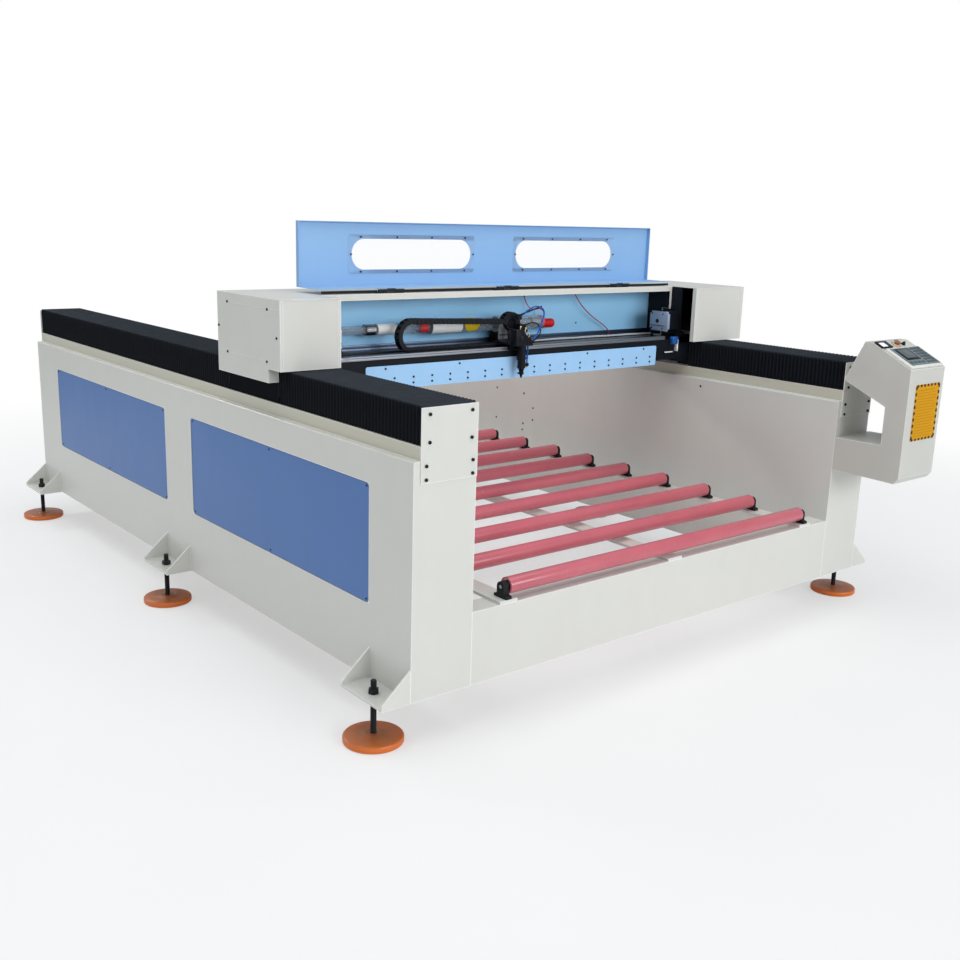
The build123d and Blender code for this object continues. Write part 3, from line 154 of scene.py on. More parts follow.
def swept(bm, matrix, radius, sides, centre, axis, angle, steps, climb=(0, 0, 0)):
    """Round bar swept about an axis, as an arc or, with a climb at each step, as a coil."""
    rim = bmesh.ops.create_circle(bm, segments=sides, radius=radius / 1000, matrix=matrix)["verts"]
    bmesh.ops.spin(bm, geom=rim + edges_of(rim), cent=centre, axis=axis, dvec=climb, angle=angle,
                   steps=steps, use_merge=False, use_duplicate=False)


def round_outline(width, height, corner, steps=6):
    """Outline of a rounded rectangle about its centre."""
    points = []
    for side_x, side_y, start in ((1, 1, 0), (-1, 1, 90), (-1, -1, 180), (1, -1, 270)):
        for step in range(steps + 1):
            angle = math.radians(start + 90 * step / steps)
            points.append((side_x * (width / 2 - corner) + corner * math.cos(angle),
                           side_y * (height / 2 - corner) + corner * math.sin(angle)))
    return points


@contextlib.contextmanager
def painted(bm, index):
    """Gives the faces made inside the block the piece's material of that number."""
    before = set(bm.faces)
    yield
    for face in bm.faces:
        if face not in before:
            face.material_index = index


def piece(name, bm, finish, body, replaces=(), smooth=38, blend=None):
    """Turns a mesh into a named object riding on a body, or fixed in place if blend is given."""
    mesh = bpy.data.meshes.new(name)
    bm.to_mesh(mesh)
    bm.free()
    for each in finish if isinstance(finish, list) else [finish]:
        mesh.materials.append(each)
    mesh.polygons.foreach_set("use_smooth", [True] * len(mesh.polygons))
    mesh.set_sharp_from_angle(angle=math.radians(smooth))
    thing = bpy.data.objects.new(name, mesh)
    bpy.context.scene.collection.objects.link(thing)
    if blend:
        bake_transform(thing)
    else:
        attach(thing, body)
    if replaces:
        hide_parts(*replaces)


# Shader tools

class Reading:
    """Output of a shader node that adds Math nodes when it is used in a sum."""

    def __init__(self, finish, socket):
        self.finish = finish
        self.socket = socket

    def sum(self, operation, other):
        node = self.finish.add("ShaderNodeMath", {"operation": operation}, {0: self, 1: other})
        return Reading(self.finish, node.outputs[0])

    def __add__(self, other):
        return self.sum("ADD", other)

    def __sub__(self, other):
        return self.sum("SUBTRACT", other)

    def __mul__(self, other):
        return self.sum("MULTIPLY", other)

    def __lt__(self, other):
        return self.sum("LESS_THAN", other)


class Finish:
    """A material made of nodes."""

    def __init__(self, name, colour, roughness, **fixed):
        self.material = bpy.data.materials.new(name)
        self.material.use_nodes = True
        self.tree = self.material.node_tree
        self.tree.nodes.clear()
        self.output = self.tree.nodes.new("ShaderNodeOutputMaterial")
        self.shader = self.tree.nodes.new("ShaderNodeBsdfPrincipled")
        self.tree.links.new(self.shader.outputs[0], self.output.inputs["Surface"])
        self.shader.inputs["Base Color"].default_value = (*colour, 1)
        self.shader.inputs["Roughness"].default_value = roughness
        for key, value in fixed.items():
            self.shader.inputs[key.replace("_", " ")].default_value = value

    def add(self, kind, settings=None, sockets=None):
        """Adds one node: its settings first, then the values or links of its sockets."""
        node = self.tree.nodes.new(kind)
        for key, value in (settings or {}).items():
            setattr(node, key, value)
        for key, value in (sockets or {}).items():
            self.feed(node.inputs[key], value)
        return node

    def feed(self, socket, value):
        if isinstance(value, Reading):
            self.tree.links.new(value.socket, socket)
        else:
            socket.default_value = value

    def read(self, node, output=0):
        return Reading(self, node.outputs[output])

    def position(self, stretch=(1, 1, 1)):
        """Object coordinates, stretched."""
        spot = self.read(self.add("ShaderNodeTexCoord"), "Object")
        return self.read(self.add("ShaderNodeMapping", {}, {"Vector": spot, "Scale": stretch}))

    def height(self, of=None):
        """Z of the object's coordinates, or of another vector."""
        parts = self.add("ShaderNodeSeparateXYZ", {}, {0: of or self.position()})
        return self.read(parts, "Z")

    def noise(self, scale, detail=2.0, stretch=(1, 1, 1)):
        node = self.add("ShaderNodeTexNoise", {},
                        {"Vector": self.position(stretch), "Scale": scale, "Detail": detail})
        return self.read(node, "Fac")

    def spots(self, scale, stretch=(1, 1, 1)):
        """Distance from scattered points."""
        node = self.add("ShaderNodeTexVoronoi", {},
                        {"Vector": self.position(stretch), "Scale": scale})
        return self.read(node, "Distance")

    def wave(self, scale, direction):
        node = self.add("ShaderNodeTexWave", {"bands_direction": direction},
                        {"Vector": self.position(), "Scale": scale})
        return self.read(node, "Fac")

    def ramp(self, value, low, high):
        node = self.add("ShaderNodeMapRange", {"clamp": True},
                        {"Value": value, "From Min": low, "From Max": high})
        return self.read(node)

    def mix(self, share, first, second):
        """Mixes two colours, given as three numbers or as readings."""
        full = [value if isinstance(value, Reading) else (*value, 1) for value in (first, second)]
        node = self.add("ShaderNodeMix", {"data_type": "RGBA"}, {0: share, 6: full[0], 7: full[1]})
        return self.read(node, 2)

    def near_edges(self, reach):
        """Share that rises to 1 at folds and edges, from how far a rounded normal turns away."""
        soft = self.read(self.add("ShaderNodeBevel", {"samples": 4}, {"Radius": reach}))
        flat = self.read(self.add("ShaderNodeNewGeometry"), "Normal")
        match = self.add("ShaderNodeVectorMath", {"operation": "DOT_PRODUCT"}, {0: soft, 1: flat})
        return self.ramp(self.read(match, "Value"), 0.99, 0.90)

    def set(self, name, value):
        self.feed(self.shader.inputs[name], value)

    def bump(self, height, strength=0.2, distance=0.001):
        node = self.add("ShaderNodeBump", {},
                        {"Height": height, "Strength": strength, "Distance": distance})
        self.set("Normal", self.read(node, "Normal"))
        return self


def darker(colour, share):
    return tuple(part * share for part in colour)


EDGE_REACH = 0.004


def coat(name, colour, roughness=0.42, grain=1500, depth=0.12, wear=0.06, edge=None, ledge=None,
         **fixed):
    """Powder coat with fine orange peel, an uneven tone and, with edge, a painted edge highlight.

    edge is the colour of that painted highlight at edges and folds, and ledge the height in
    metres and the colour of the sheet above it: its own browner tone, darker with painted shade.
    """
    finish = Finish(name, colour, roughness, **fixed)
    cloud = finish.noise(3.1, 3)
    smear = finish.noise(14, 4, (1, 1, 0.35))
    clean = finish.ramp(cloud * 0.6 + smear * 0.4, 0.25, 0.75)
    tone = finish.mix(clean, darker(colour, 1 - wear), colour)
    if ledge:
        height, strip_tone_and_shade = ledge
        # sheet above the ledge: its own browner tone, darkened further as painted shade
        above = finish.ramp(finish.height(), height, height + 0.001)
        tone = finish.mix(above * 0.85, tone, strip_tone_and_shade)
    # painted highlight: edges and folds lightened towards the edge colour, for light caught on
    # rounded bends
    if edge:
        tone = finish.mix(finish.near_edges(EDGE_REACH), tone, edge)
    finish.set("Base Color", tone)
    finish.set("Roughness", finish.ramp(smear, 0.0, 1.0) * 0.16 + (roughness - 0.08))
    return finish.bump(finish.noise(grain, 2), depth, 0.0004).material


IVORY = (0.715, 0.710, 0.665)
# ivory darkened as painted shade, to match the cabinet's shaded sides
SHADED_CABINET_IVORY = (0.610, 0.605, 0.555)
SKY = (0.265, 0.475, 0.765)
# sky blue made lighter as painted light, for the beam skirt that gets too little light
LIT_SKIRT_SKY = (0.370, 0.640, 0.960)
# sky blue made brighter and deeper as painted light, for the back panel under the roof's shade
BRIGHT_INSIDE_SKY = (0.340, 0.680, 0.990)
PANEL = (0.064, 0.182, 0.480)
# colour of the painted highlight on the ivory coats' edges and folds
EDGE_HIGHLIGHT_IVORY = (0.96, 0.96, 0.93)
# ledge height and the colour above it: browner tone plus painted shade on the set-back sheet
LEDGE_AND_STRIP_SHADE = ((SKIN_TOP + 1) / 1000, (0.605, 0.585, 0.465))
# coat gloss, together with the painted edge highlight
gloss = {"edge": EDGE_HIGHLIGHT_IVORY, "Coat_Weight": 0.35, "Coat_Roughness": 0.14}
ivory = coat("ivory_powder_coat", IVORY, **gloss)
wall_ivory = coat("wall_powder_coat", IVORY, ledge=LEDGE_AND_STRIP_SHADE, **gloss)
shaded_cabinet_ivory = coat("cabinet_coat_painted_shade", SHADED_CABINET_IVORY, **gloss)
sky_blue = coat("sky_blue_powder_coat", SKY, 0.36, wear=0.05)
lit_skirt_blue = coat("skirt_coat_painted_light", LIT_SKIRT_SKY, 0.36, wear=0.05)
inside_lit_blue = coat("back_panel_coat_painted_light", BRIGHT_INSIDE_SKY, 0.34, wear=0.04)
panel_blue = coat("panel_blue_powder_coat", PANEL, 0.34, wear=0.10)
black_coat = coat("black_satin_paint", (0.009, 0.011, 0.016), 0.38, wear=0.3,
                  Specular_IOR_Level=0.13)
black_steel = coat("blackened_screw_steel", (0.012, 0.013, 0.016), 0.35, grain=4000,
                   Specular_IOR_Level=0.25)
white_plastic = coat("white_moulded_plastic", (0.90, 0.91, 0.91), 0.4, grain=3000, depth=0.05)
black_plastic = coat("black_nylon", (0.012, 0.014, 0.018), 0.45, grain=2500, depth=0.2,
                     wear=0.25, Specular_IOR_Level=0.18)
amber = coat("amber_plate", (0.66, 0.315, 0.002), 0.4, grain=2500, depth=0.05,
             Specular_IOR_Level=0.1)
amber_print = coat("plain_print_rows", (0.54, 0.248, 0.002), 0.4, grain=2500, depth=0.05,
                   Specular_IOR_Level=0.1)
motor_alloy = coat("motor_face_alloy", (0.31, 0.39, 0.52), 0.45, grain=1800, depth=0.25,
                   Metallic=0.2)


def bellows_cloth():
    """Coated cloth, lighter where it faces up: partly dust, partly a painted sheen from above."""
    colour = (0.0060, 0.0080, 0.0120)
    finish = Finish("bellows_cloth", colour, 0.62, Specular_IOR_Level=0.12)
    weave = finish.wave(520, "X") * finish.wave(520, "Y") + finish.wave(520, "Z")
    facing = finish.height(finish.read(finish.add("ShaderNodeNewGeometry"), "Normal"))
    # upward faces lightened: dust, plus a painted sheen of the light from above
    dust_and_sheen = finish.ramp(facing, 0.15, 0.7) * (finish.noise(22, 5) * 0.6 + 0.5)
    finish.set("Base Color", finish.mix(dust_and_sheen, colour, (0.040, 0.050, 0.062)))
    finish.set("Roughness", finish.noise(30, 3) * 0.2 + 0.5)
    return finish.bump(weave, 0.15, 0.0004).material


def brushed(name, colour, roughness, stretch, rub=0.1):
    """Drawn or ground metal with lines along one way."""
    finish = Finish(name, colour, roughness, Metallic=1.0)
    lines = finish.noise(900, 3, stretch)
    finish.set("Base Color", finish.mix(lines, darker(colour, 0.75), colour))
    finish.set("Roughness", lines * rub * 2 + (roughness - rub))
    return finish.bump(lines, 0.06, 0.0002).material


bright_steel = brushed("ground_steel", (0.60, 0.61, 0.63), 0.28, (0.02, 0.02, 1))
brass = brushed("brass_fitting", (0.80, 0.58, 0.24), 0.25, (1, 1, 1))
dark_alloy = brushed("dark_anodised_alloy", (0.060, 0.064, 0.075), 0.38, (0.01, 1, 1))
rail_steel = brushed("guide_rail_steel", (0.50, 0.53, 0.58), 0.36, (0.004, 0.25, 0.25), 0.05)
tray_edge = brushed("tray_edge_metal", (0.13, 0.17, 0.25), 0.42, (0.006, 0.4, 0.4), 0.05)


def roller_sleeve():
    """Pink sleeve under clear film with small trapped bubbles."""
    base = (0.585, 0.105, 0.145)
    finish = Finish("roller_sleeve", base, 0.42, Coat_Roughness=0.12, Coat_IOR=1.5)
    cloud = finish.noise(9, 4, (0.4, 1, 1))
    bubbles = finish.spots(150, (0.55, 1, 1)) < finish.noise(13, 2) * 0.30 - 0.055
    tone = finish.mix(cloud, darker(base, 0.78), (0.66, 0.15, 0.19))
    finish.set("Base Color", finish.mix(bubbles * 0.55, tone, (0.82, 0.45, 0.48)))
    finish.set("Coat Weight", finish.ramp(finish.noise(5, 3, (0.3, 1, 1)), 0.35, 0.6) * 0.6 + 0.1)
    finish.set("Roughness", cloud * 0.2 + 0.32)
    return finish.bump(finish.noise(55, 3, (0.3, 1, 1)), 0.12, 0.001).material


def pad_plastic():
    """Orange moulded pad, browned and dusty on its upper side."""
    base = (0.72, 0.155, 0.012)
    finish = Finish("pad_plastic", base, 0.34, Coat_Weight=0.25, Coat_Roughness=0.2)
    top = finish.ramp(finish.height(), 0.0165, 0.0245)
    dirt = finish.noise(38, 5)
    finish.set("Base Color", finish.mix(top * (dirt * 0.5 + 0.5), base, (0.215, 0.085, 0.030)))
    finish.set("Roughness", dirt * 0.25 + 0.25)
    return finish.bump(finish.noise(420, 3), 0.15, 0.0006).material


def moulded(name, colour, roughness=0.3, **fixed):
    """Smooth plastic or rubber with a faint uneven sheen."""
    finish = Finish(name, colour, roughness, **fixed)
    cloud = finish.noise(60, 3)
    finish.set("Base Color", finish.mix(cloud, darker(colour, 0.85), colour))
    finish.set("Roughness", cloud * 0.14 + (roughness - 0.07))
    return finish.bump(finish.noise(700, 2), 0.06, 0.0003).material


red_plastic = moulded("red_silicone", (0.62, 0.008, 0.014), 0.32)
stop_red = moulded("stop_button_plastic", (0.30, 0.120, 0.045), 0.32, Coat_Weight=0.2)
stop_beige = moulded("stop_button_plate", (0.62, 0.47, 0.22), 0.4)
hose_blue = moulded("blue_hose", (0.004, 0.085, 0.44), 0.26, Coat_Weight=0.15,
                    Specular_IOR_Level=0.25)
lead_red = moulded("red_lead_jacket", (0.46, 0.018, 0.045), 0.38)
cable_black = moulded("black_cable_jacket", (0.010, 0.011, 0.014), 0.4, Specular_IOR_Level=0.2)
switch_blue = moulded("switch_housing", (0.012, 0.115, 0.42), 0.3)
belt_rubber = moulded("belt_rubber", (0.012, 0.012, 0.014), 0.6, Specular_IOR_Level=0.2)
water_hose = moulded("clear_hose_skin", (0.66, 0.70, 0.74), 0.25, Coat_Weight=0.3)
label_white = moulded("plain_white_band", (0.90, 0.91, 0.92), 0.42)
label_yellow = moulded("plain_yellow_band", (0.80, 0.55, 0.012), 0.4)
label_red = moulded("plain_red_band", (0.66, 0.035, 0.040), 0.4)
electrode = brushed("electrode_metal", (0.55, 0.56, 0.58), 0.2, (1, 1, 1))


def clear(name, tint, roughness=0.02, see=0.86):
    """Thin clear wall: mostly see-through, with its own gloss."""
    finish = Finish(name, tint, roughness, IOR=1.47)
    streak = finish.noise(30, 3, (0.2, 1, 1))
    finish.set("Roughness", streak * 0.05 + roughness)
    edge = finish.add("ShaderNodeLayerWeight", {}, {"Blend": 0.25})
    finish.set("Alpha", finish.read(edge, "Facing") * 0.34 + (1 - see))
    return finish.material


tube_glass = clear("tube_glass", (0.62, 0.72, 0.84), 0.03, 0.93)
clear_acrylic = clear("clear_acrylic", (0.85, 0.90, 0.95), 0.03, 0.95)


def screen_finish(name, dark, light, glow):
    """Display or membrane behind a glossy face."""
    finish = Finish(name, dark, 0.2, Coat_Weight=0.2, Coat_Roughness=0.05, Specular_IOR_Level=0.3)
    cloud = finish.noise(45, 2)
    finish.set("Base Color", finish.mix(cloud, dark, light))
    finish.set("Emission Color", finish.mix(cloud, darker(light, glow), darker(light, glow * 0.6)))
    finish.shader.inputs["Emission Strength"].default_value = 0.5 if glow else 0.0
    return finish.material


screen_dark = screen_finish("controller_face", (0.120, 0.165, 0.180), (0.190, 0.235, 0.245), 0.0)
screen_lcd = screen_finish("display_glass", (0.075, 0.095, 0.100), (0.120, 0.140, 0.145), 0.0)
screen_pale = screen_finish("meter_glass", (0.80, 0.86, 0.96), (0.88, 0.92, 0.98), 0.5)
key_grey = moulded("membrane_keys", (0.055, 0.075, 0.085), 0.4)
bezel_black = moulded("black_bezel", (0.008, 0.009, 0.014), 0.25, Specular_IOR_Level=0.25)

LOOKS = {
    "ivory_coat": ivory, "sky_blue_coat": sky_blue, "panel_blue_coat": panel_blue,
    "black_coat": black_coat, "bellows_cloth": bellows_cloth(), "bright_steel": bright_steel,
    "black_steel": black_steel, "pad_orange": pad_plastic(), "roller_pink": roller_sleeve(),
    "black_plastic": black_plastic, "white_plastic": white_plastic, "red_plastic": red_plastic,
    "tube_glass": tube_glass, "clear_acrylic": clear_acrylic, "belt_rubber": belt_rubber,
    "screen_dark": screen_dark, "hose_skin": hose_blue, "lead_red": lead_red,
    "switch_blue": switch_blue,
}
# skirt, back panel and cabinet take copies of their coats carrying painted light and painted shade
OWN_LOOKS = {"beam_skirt": lit_skirt_blue, "back_panel": inside_lit_blue, "control_cabinet": shaded_cabinet_ivory,
             "head_rail": rail_steel, "left_wall": wall_ivory, "right_wall": wall_ivory}


def dress_model():
    """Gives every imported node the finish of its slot, or its own."""
    for entry in frame["record"]["subparts"]:
        thing = nodes[entry["node"]]
        look = OWN_LOOKS.get(entry["node"], LOOKS[entry["material_slot"]])
        if not thing.material_slots:
            thing.data.materials.append(look)
        for slot in thing.material_slots:
            slot.material = look


dress_model()


# Camera, light and floor

CAMERA_SPOT = (-2.8771, -3.8589, 1.5437)
CAMERA_TURN = (76.3668, -1.6348, -39.0594)
CAMERA_LENS = 41.01
SKY_LIGHT = 0.42
FLOOR_FADE = (2.2, 5.0)


def set_camera():
    lens = bpy.data.cameras.new("camera")
    lens.lens = CAMERA_LENS
    lens.sensor_width = 36
    lens.clip_end = 60
    camera = bpy.data.objects.new("camera", lens)
    camera.location = CAMERA_SPOT
    camera.rotation_euler = Euler([math.radians(turn) for turn in CAMERA_TURN])
    bpy.context.scene.collection.objects.link(camera)
    bpy.context.scene.camera = camera


def lamp(name, spot, aim, size, power, colour=(1, 1, 1)):
    light = bpy.data.lights.new(name, "AREA")
    light.shape = "RECTANGLE"
    light.size, light.size_y = size
    light.energy = power
    light.color = colour
    thing = bpy.data.objects.new(name, light)
    thing.location = spot
    thing.rotation_euler = (Vector(aim) - Vector(spot)).to_track_quat("-Z", "Y").to_euler()
    bpy.context.scene.collection.objects.link(thing)


def set_world():
    """Pale sky light, seen as plain white by the camera."""
    world = bpy.data.worlds.new("studio")
    world.use_nodes = True
    tree = world.node_tree
    tree.nodes.clear()
    soft = tree.nodes.new("ShaderNodeBackground")
    soft.inputs["Color"].default_value = (0.86, 0.93, 1.0, 1)
    soft.inputs["Strength"].default_value = SKY_LIGHT
    white = tree.nodes.new("ShaderNodeBackground")
    white.inputs["Color"].default_value = (1, 1, 1, 1)
    rays = tree.nodes.new("ShaderNodeLightPath")
    mix = tree.nodes.new("ShaderNodeMixShader")
    tree.links.new(rays.outputs["Is Camera Ray"], mix.inputs[0])
    tree.links.new(soft.outputs[0], mix.inputs[1])
    tree.links.new(white.outputs[0], mix.inputs[2])
    out = tree.nodes.new("ShaderNodeOutputWorld")
    tree.links.new(mix.outputs[0], out.inputs[0])
    bpy.context.scene.world = world


def set_floor():
    """White floor that keeps the machine's shadow near it and fades to white further out."""
    bm = bmesh.new()
    bmesh.ops.create_grid(bm, x_segments=8, y_segments=8, size=12)
    mesh = bpy.data.meshes.new("floor")
    bm.to_mesh(mesh)
    bm.free()
    finish = Finish("floor_paint", (0.86,) * 3, 0.85)
    finish.set("Base Color", finish.mix(finish.noise(2.5, 3), (0.84,) * 3, (0.88,) * 3))
    white = finish.add("ShaderNodeEmission", {}, {"Strength": 1.0})
    rays = finish.add("ShaderNodeLightPath")
    seen = finish.read(rays, "Is Camera Ray")
    far = finish.add("ShaderNodeVectorMath", {"operation": "LENGTH"}, {0: finish.position()})
    share = finish.ramp(finish.read(far, "Value"), *FLOOR_FADE) * 0.55 + 0.45
    mixed = finish.add("ShaderNodeMixShader", {}, {0: seen * share})
    finish.tree.links.new(finish.shader.outputs[0], mixed.inputs[1])
    finish.tree.links.new(white.outputs[0], mixed.inputs[2])
    finish.tree.links.new(mixed.outputs[0], finish.output.inputs["Surface"])
    mesh.materials.append(finish.material)
    floor = bpy.data.objects.new("floor", mesh)
    floor.location = (0, 0, -0.0005)
    bpy.context.scene.collection.objects.link(floor)


set_camera()
set_world()
set_floor()
lamp("ceiling", (-0.6, -1.2, 5.2), (0, 0, 0.6), (6.0, 5.0), 150, (1.0, 0.985, 0.96))
lamp("front_window", (1.6, -12.0, 4.0), (0.3, 0, 0.8), (8.0, 4.0), 600)
lamp("rear_window", (-1.8, 5.0, 3.8), (-0.8, -0.5, 0.9), (3.4, 0.5), 80)
lamp("left_fill", (-6.5, 1.0, 2.6), (0, 0, 0.7), (4.0, 2.5), 30, (1.0, 0.95, 0.88))
bpy.context.scene.view_settings.view_transform = "Standard"


# Hoses and leads

def cord(name, points, diameter, finish, body, node=None):
    """Free cord through its route's points, as a smooth curve of its real thickness."""
    curve = bpy.data.curves.new(name, "CURVE")
    curve.dimensions = "3D"
    spline = curve.splines.new("NURBS")
    spline.points.add(len(points) - 1)
    for target, point in zip(spline.points, points):
        target.co = (*place(*point), 1)
    spline.order_u = 3
    spline.use_endpoint_u = True
    spline.resolution_u = 10
    curve.bevel_depth = diameter / 2000
    curve.bevel_resolution = 5
    curve.use_fill_caps = True
    curve.materials.append(finish)
    thing = bpy.data.objects.new(name, curve)
    bpy.context.scene.collection.objects.link(thing)
    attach(thing, body)
    if node:
        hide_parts(node)
    place(*points[0])


LOWER_HOSE = [(1083, 760, 990), (1083, 760, 1008), (1086, 761, 1034), (1086, 761, 1058)]
LOOP_HOSE = [(1104, 762, 1084), (1121, 762, 1084), (1143, 767, 1106), (1164, 775, 1138),
             (1186, 784, 1166), (1193, 795, 1191), (1168, 807, 1205), (1138, 818, 1192),
             (1112, 832, 1164), (1112, 862, 1164)]
SENSOR_CABLE = [(1134, 806, 1067), (1154, 806, 1067), (1184, 811, 1080), (1208, 822, 1104),
                (1206, 842, 1132), (1184, 862, 1134), (1160, 878, 1116), (1134, 878, 1116)]
CAP_LEAD = [(1251, 984, 1260), (1251, 984, 1238), (1255, 981, 1216), (1264, 976, 1192),
            (1278, 970, 1176), (1296, 963, 1172), (1314, 957, 1177), (1329, 953, 1173),
            (1337, 950, 1158), (1337, 950, 1136)]
WATER_HOSE = [(1240, 950, 1097), (1240, 950, 1045), (1344, 962, 1045), (1440, 978, 1045),
              (1540, 964, 1045), (1640, 978, 1045), (1740, 962, 1045), (1840, 974, 1045),
              (1930, 966, 1045), (2016, 966, 1045)]
RETURN_LEAD = [(1524, 974, 1260), (1524, 974, 1238), (1542, 973, 1214), (1568, 972, 1184),
               (1602, 972, 1156), (1642, 974, 1130), (1684, 977, 1108), (1720, 978, 1090),
               (1744, 977, 1070), (1752, 976, 1052), (1752, 976, 1038)]

cord("air_hose_below", LOWER_HOSE, 6, hose_blue, "head",
     "head_hoses")
cord("air_hose_loop", LOOP_HOSE, 6, hose_blue, "head", "head_hoses")
cord("sensor_cable", SENSOR_CABLE, 5, cable_black, "head",
     "head_hoses")
cord("tube_cap_lead", CAP_LEAD, 4.5, lead_red, "gantry",
     "gantry_wiring")
cord("tray_lead", RETURN_LEAD, 4.5, lead_red, "gantry",
     "gantry_wiring")
cord("tray_water_hose", WATER_HOSE, 9, water_hose, "gantry")
bm = bmesh.new()
turned(bm, WATER_HOSE[-1], [(4.6, -9), (8, -9), (9, -8), (9, -3), (12, -3), (12, -0.4),
                            (4.6, -0.4), (4.6, -9)], "X", 28)
turned(bm, WATER_HOSE[0], [(4.6, -13), (6.4, -13), (7, -12), (7, -1), (6.4, 0), (4.6, 0),
                           (4.6, -13)], "Z", 24)
piece("water_hose_sleeves", bm, cable_black, "gantry")


# Bellows

BELLOWS_PITCH = 17.6
BELLOWS_TOP = 1028
BELLOWS_FOOT = 913
BELLOWS_DEPTH = 9
BELLOWS_WIDTH = 196
BELLOWS_LEFT = 26
FOLD_STEPS = ((0.0, BELLOWS_DEPTH), (0.42, 0.4), (0.5, 0.0), (0.58, 0.4), (0.96, BELLOWS_DEPTH))


def fold_ring(bm, x0, x1, y, inset):
    """One cross section of the bellows, an upturned channel with cut corners."""
    left, right, top = x0 + inset, x1 - inset, BELLOWS_TOP - inset
    cut = 5 + inset * 0.4
    spots = [(left, BELLOWS_FOOT), (left, top - cut), (left + cut * 0.3, top - cut * 0.3),
             (left + cut, top), (right - cut, top), (right - cut * 0.3, top - cut * 0.3),
             (right, top - cut), (right, BELLOWS_FOOT)]
    return [bm.verts.new(place(x, y, z)) for x, z in spots]


def bridge(bm, first, second):
    """Faces between two cross sections."""
    rims = [bm.edges.get(pair) or bm.edges.new(pair) for line in (first, second)
            for pair in zip(line, line[1:])]
    bmesh.ops.bridge_loops(bm, edges=rims)


def bellows(bm, x0, x1, start, end):
    """Sharp pleats from start to end along the wall, joined ring by ring."""
    count = round((end - start) / BELLOWS_PITCH)
    pitch = (end - start) / count
    before = None
    for fold in range(count):
        for share, inset in FOLD_STEPS:
            ring = fold_ring(bm, x0, x1, start + (fold + share) * pitch, inset)
            if before:
                bridge(bm, before, ring)
            before = ring
    bridge(bm, before, fold_ring(bm, x0, x1, end, BELLOWS_DEPTH))


def bellows_piece(name, node, start, end, blend):
    """The bellows of both rails, as one piece fixed where it stands."""
    bm = bmesh.new()
    for x in (BELLOWS_LEFT, RIGHT_WALL + BELLOWS_LEFT):
        bellows(bm, x, x + BELLOWS_WIDTH, start, end)
    bmesh.ops.recalc_face_normals(bm, faces=bm.faces)
    bmesh.ops.solidify(bm, geom=bm.faces[:], thickness=0.0009)
    piece(name, bm, LOOKS["bellows_cloth"], None, [node], 25, blend)


bellows_piece("front_bellows_folds", "front_bellows", 0.5, GANTRY_FRONT,
              ("frame", "gantry", place(0, 0, 0), place(0, GANTRY_FRONT, 0)))
bellows_piece("rear_bellows_folds", "rear_bellows", GANTRY_REAR, BED_LENGTH - 0.5,
              ("gantry", "frame", place(0, GANTRY_REAR, 0), place(0, BED_LENGTH, 0)))


def side_folds(bm, x, out, start, end):
    """Hanging strip of the same pleats, open to one side."""
    count = round((end - start) / BELLOWS_PITCH)
    pitch = (end - start) / count
    line = [(x - out * (BELLOWS_DEPTH if step % 2 else 0), start + step * pitch / 2)
            for step in range(2 * count + 1)]
    outline = line + [(spot - out * 1.2, y) for spot, y in reversed(line)]
    plate(bm, outline, BELLOWS_TOP - BELLOWS_FOOT, Matrix.Translation(place(0, 0, BELLOWS_FOOT)))


bm = bmesh.new()
for x, out in ((BELLOWS_LEFT, -1), (RIGHT_WALL + BELLOWS_LEFT + BELLOWS_WIDTH, 1)):
    side_folds(bm, x, out, GANTRY_FRONT + 0.5, GANTRY_REAR - 0.5)
piece("rail_side_curtains", bm, LOOKS["bellows_cloth"], "gantry", smooth=25)


# Rollers, feet and screws

ROLLER_PITCH = 236
ROLLER_HALF = 758.5
SHAFT_HALF = 782.5


def roller_piece(number):
    """Sleeve with steel ends and the shaft that carries it."""
    bm = bmesh.new()
    centre = (BED_WIDTH / 2, 30 + ROLLER_PITCH * number, 428)
    half = ROLLER_HALF
    sleeve = [(21.2, -half), (26, -half), (26.8, 0.5 - half), (27, 1.4 - half), (27, half - 1.4),
              (26.8, half - 0.5), (26, half), (21.2, half)]
    turned(bm, centre, sleeve, "X", 48)
    end = [(21.2, 0.4), (21.2, -3.4), (9, -3.4), (9, -1.4), (6.2, -1.4)]
    with painted(bm, 1):
        for side in (-1, 1):
            turned(bm, centre, [(r, side * (half + d)) for r, d in end], "X", 48)
        turned(bm, centre, [(0, -SHAFT_HALF), (5, -SHAFT_HALF), (6, 1 - SHAFT_HALF),
                            (6, SHAFT_HALF - 1), (5, SHAFT_HALF), (0, SHAFT_HALF)], "X", 24)
    name = f"roller_{number + 1:02d}"
    piece(f"{name}_sleeve", bm, [LOOKS["roller_pink"], bright_steel], name, [name])


for number in range(14):
    roller_piece(number)


foot_spots = [(x, y) for x in (-55, BED_WIDTH + 55) for y in (111, 1596, 3106)]

bm = bmesh.new()
for x, y in foot_spots:
    turned(bm, (x, y, 0), [(0, 0.2), (88, 0.2), (91.5, 1.2), (93, 4), (93, 15), (92.3, 18),
                           (90, 20.6), (86.5, 21.6), (60, 23.2), (34, 24.6), (31.5, 25.6),
                           (29.5, 26.4), (26, 26.5), (10.4, 26.5), (10.4, 14.6), (0, 14.6)],
           "Z", 72)
piece("levelling_pads", bm, LOOKS["pad_orange"], "frame", ["foot_pads"])


def hexagon(bm, x, y, z0, z1, across_flats, turn=0.0):
    """Six-sided nut with chamfered corners, on Z."""
    verts = rod(bm, (x, y, z0), (x, y, z1), across_flats / math.sqrt(3), sides=6)
    bmesh.ops.rotate(bm, verts=verts, cent=place(x, y, z0), matrix=Matrix.Rotation(turn, 3, "Z"))
    edges = [edge for edge in edges_of(verts)
             if abs(edge.verts[0].co.z - edge.verts[1].co.z) < 1e-6]
    round_edges(bm, edges, 1.4, 1)


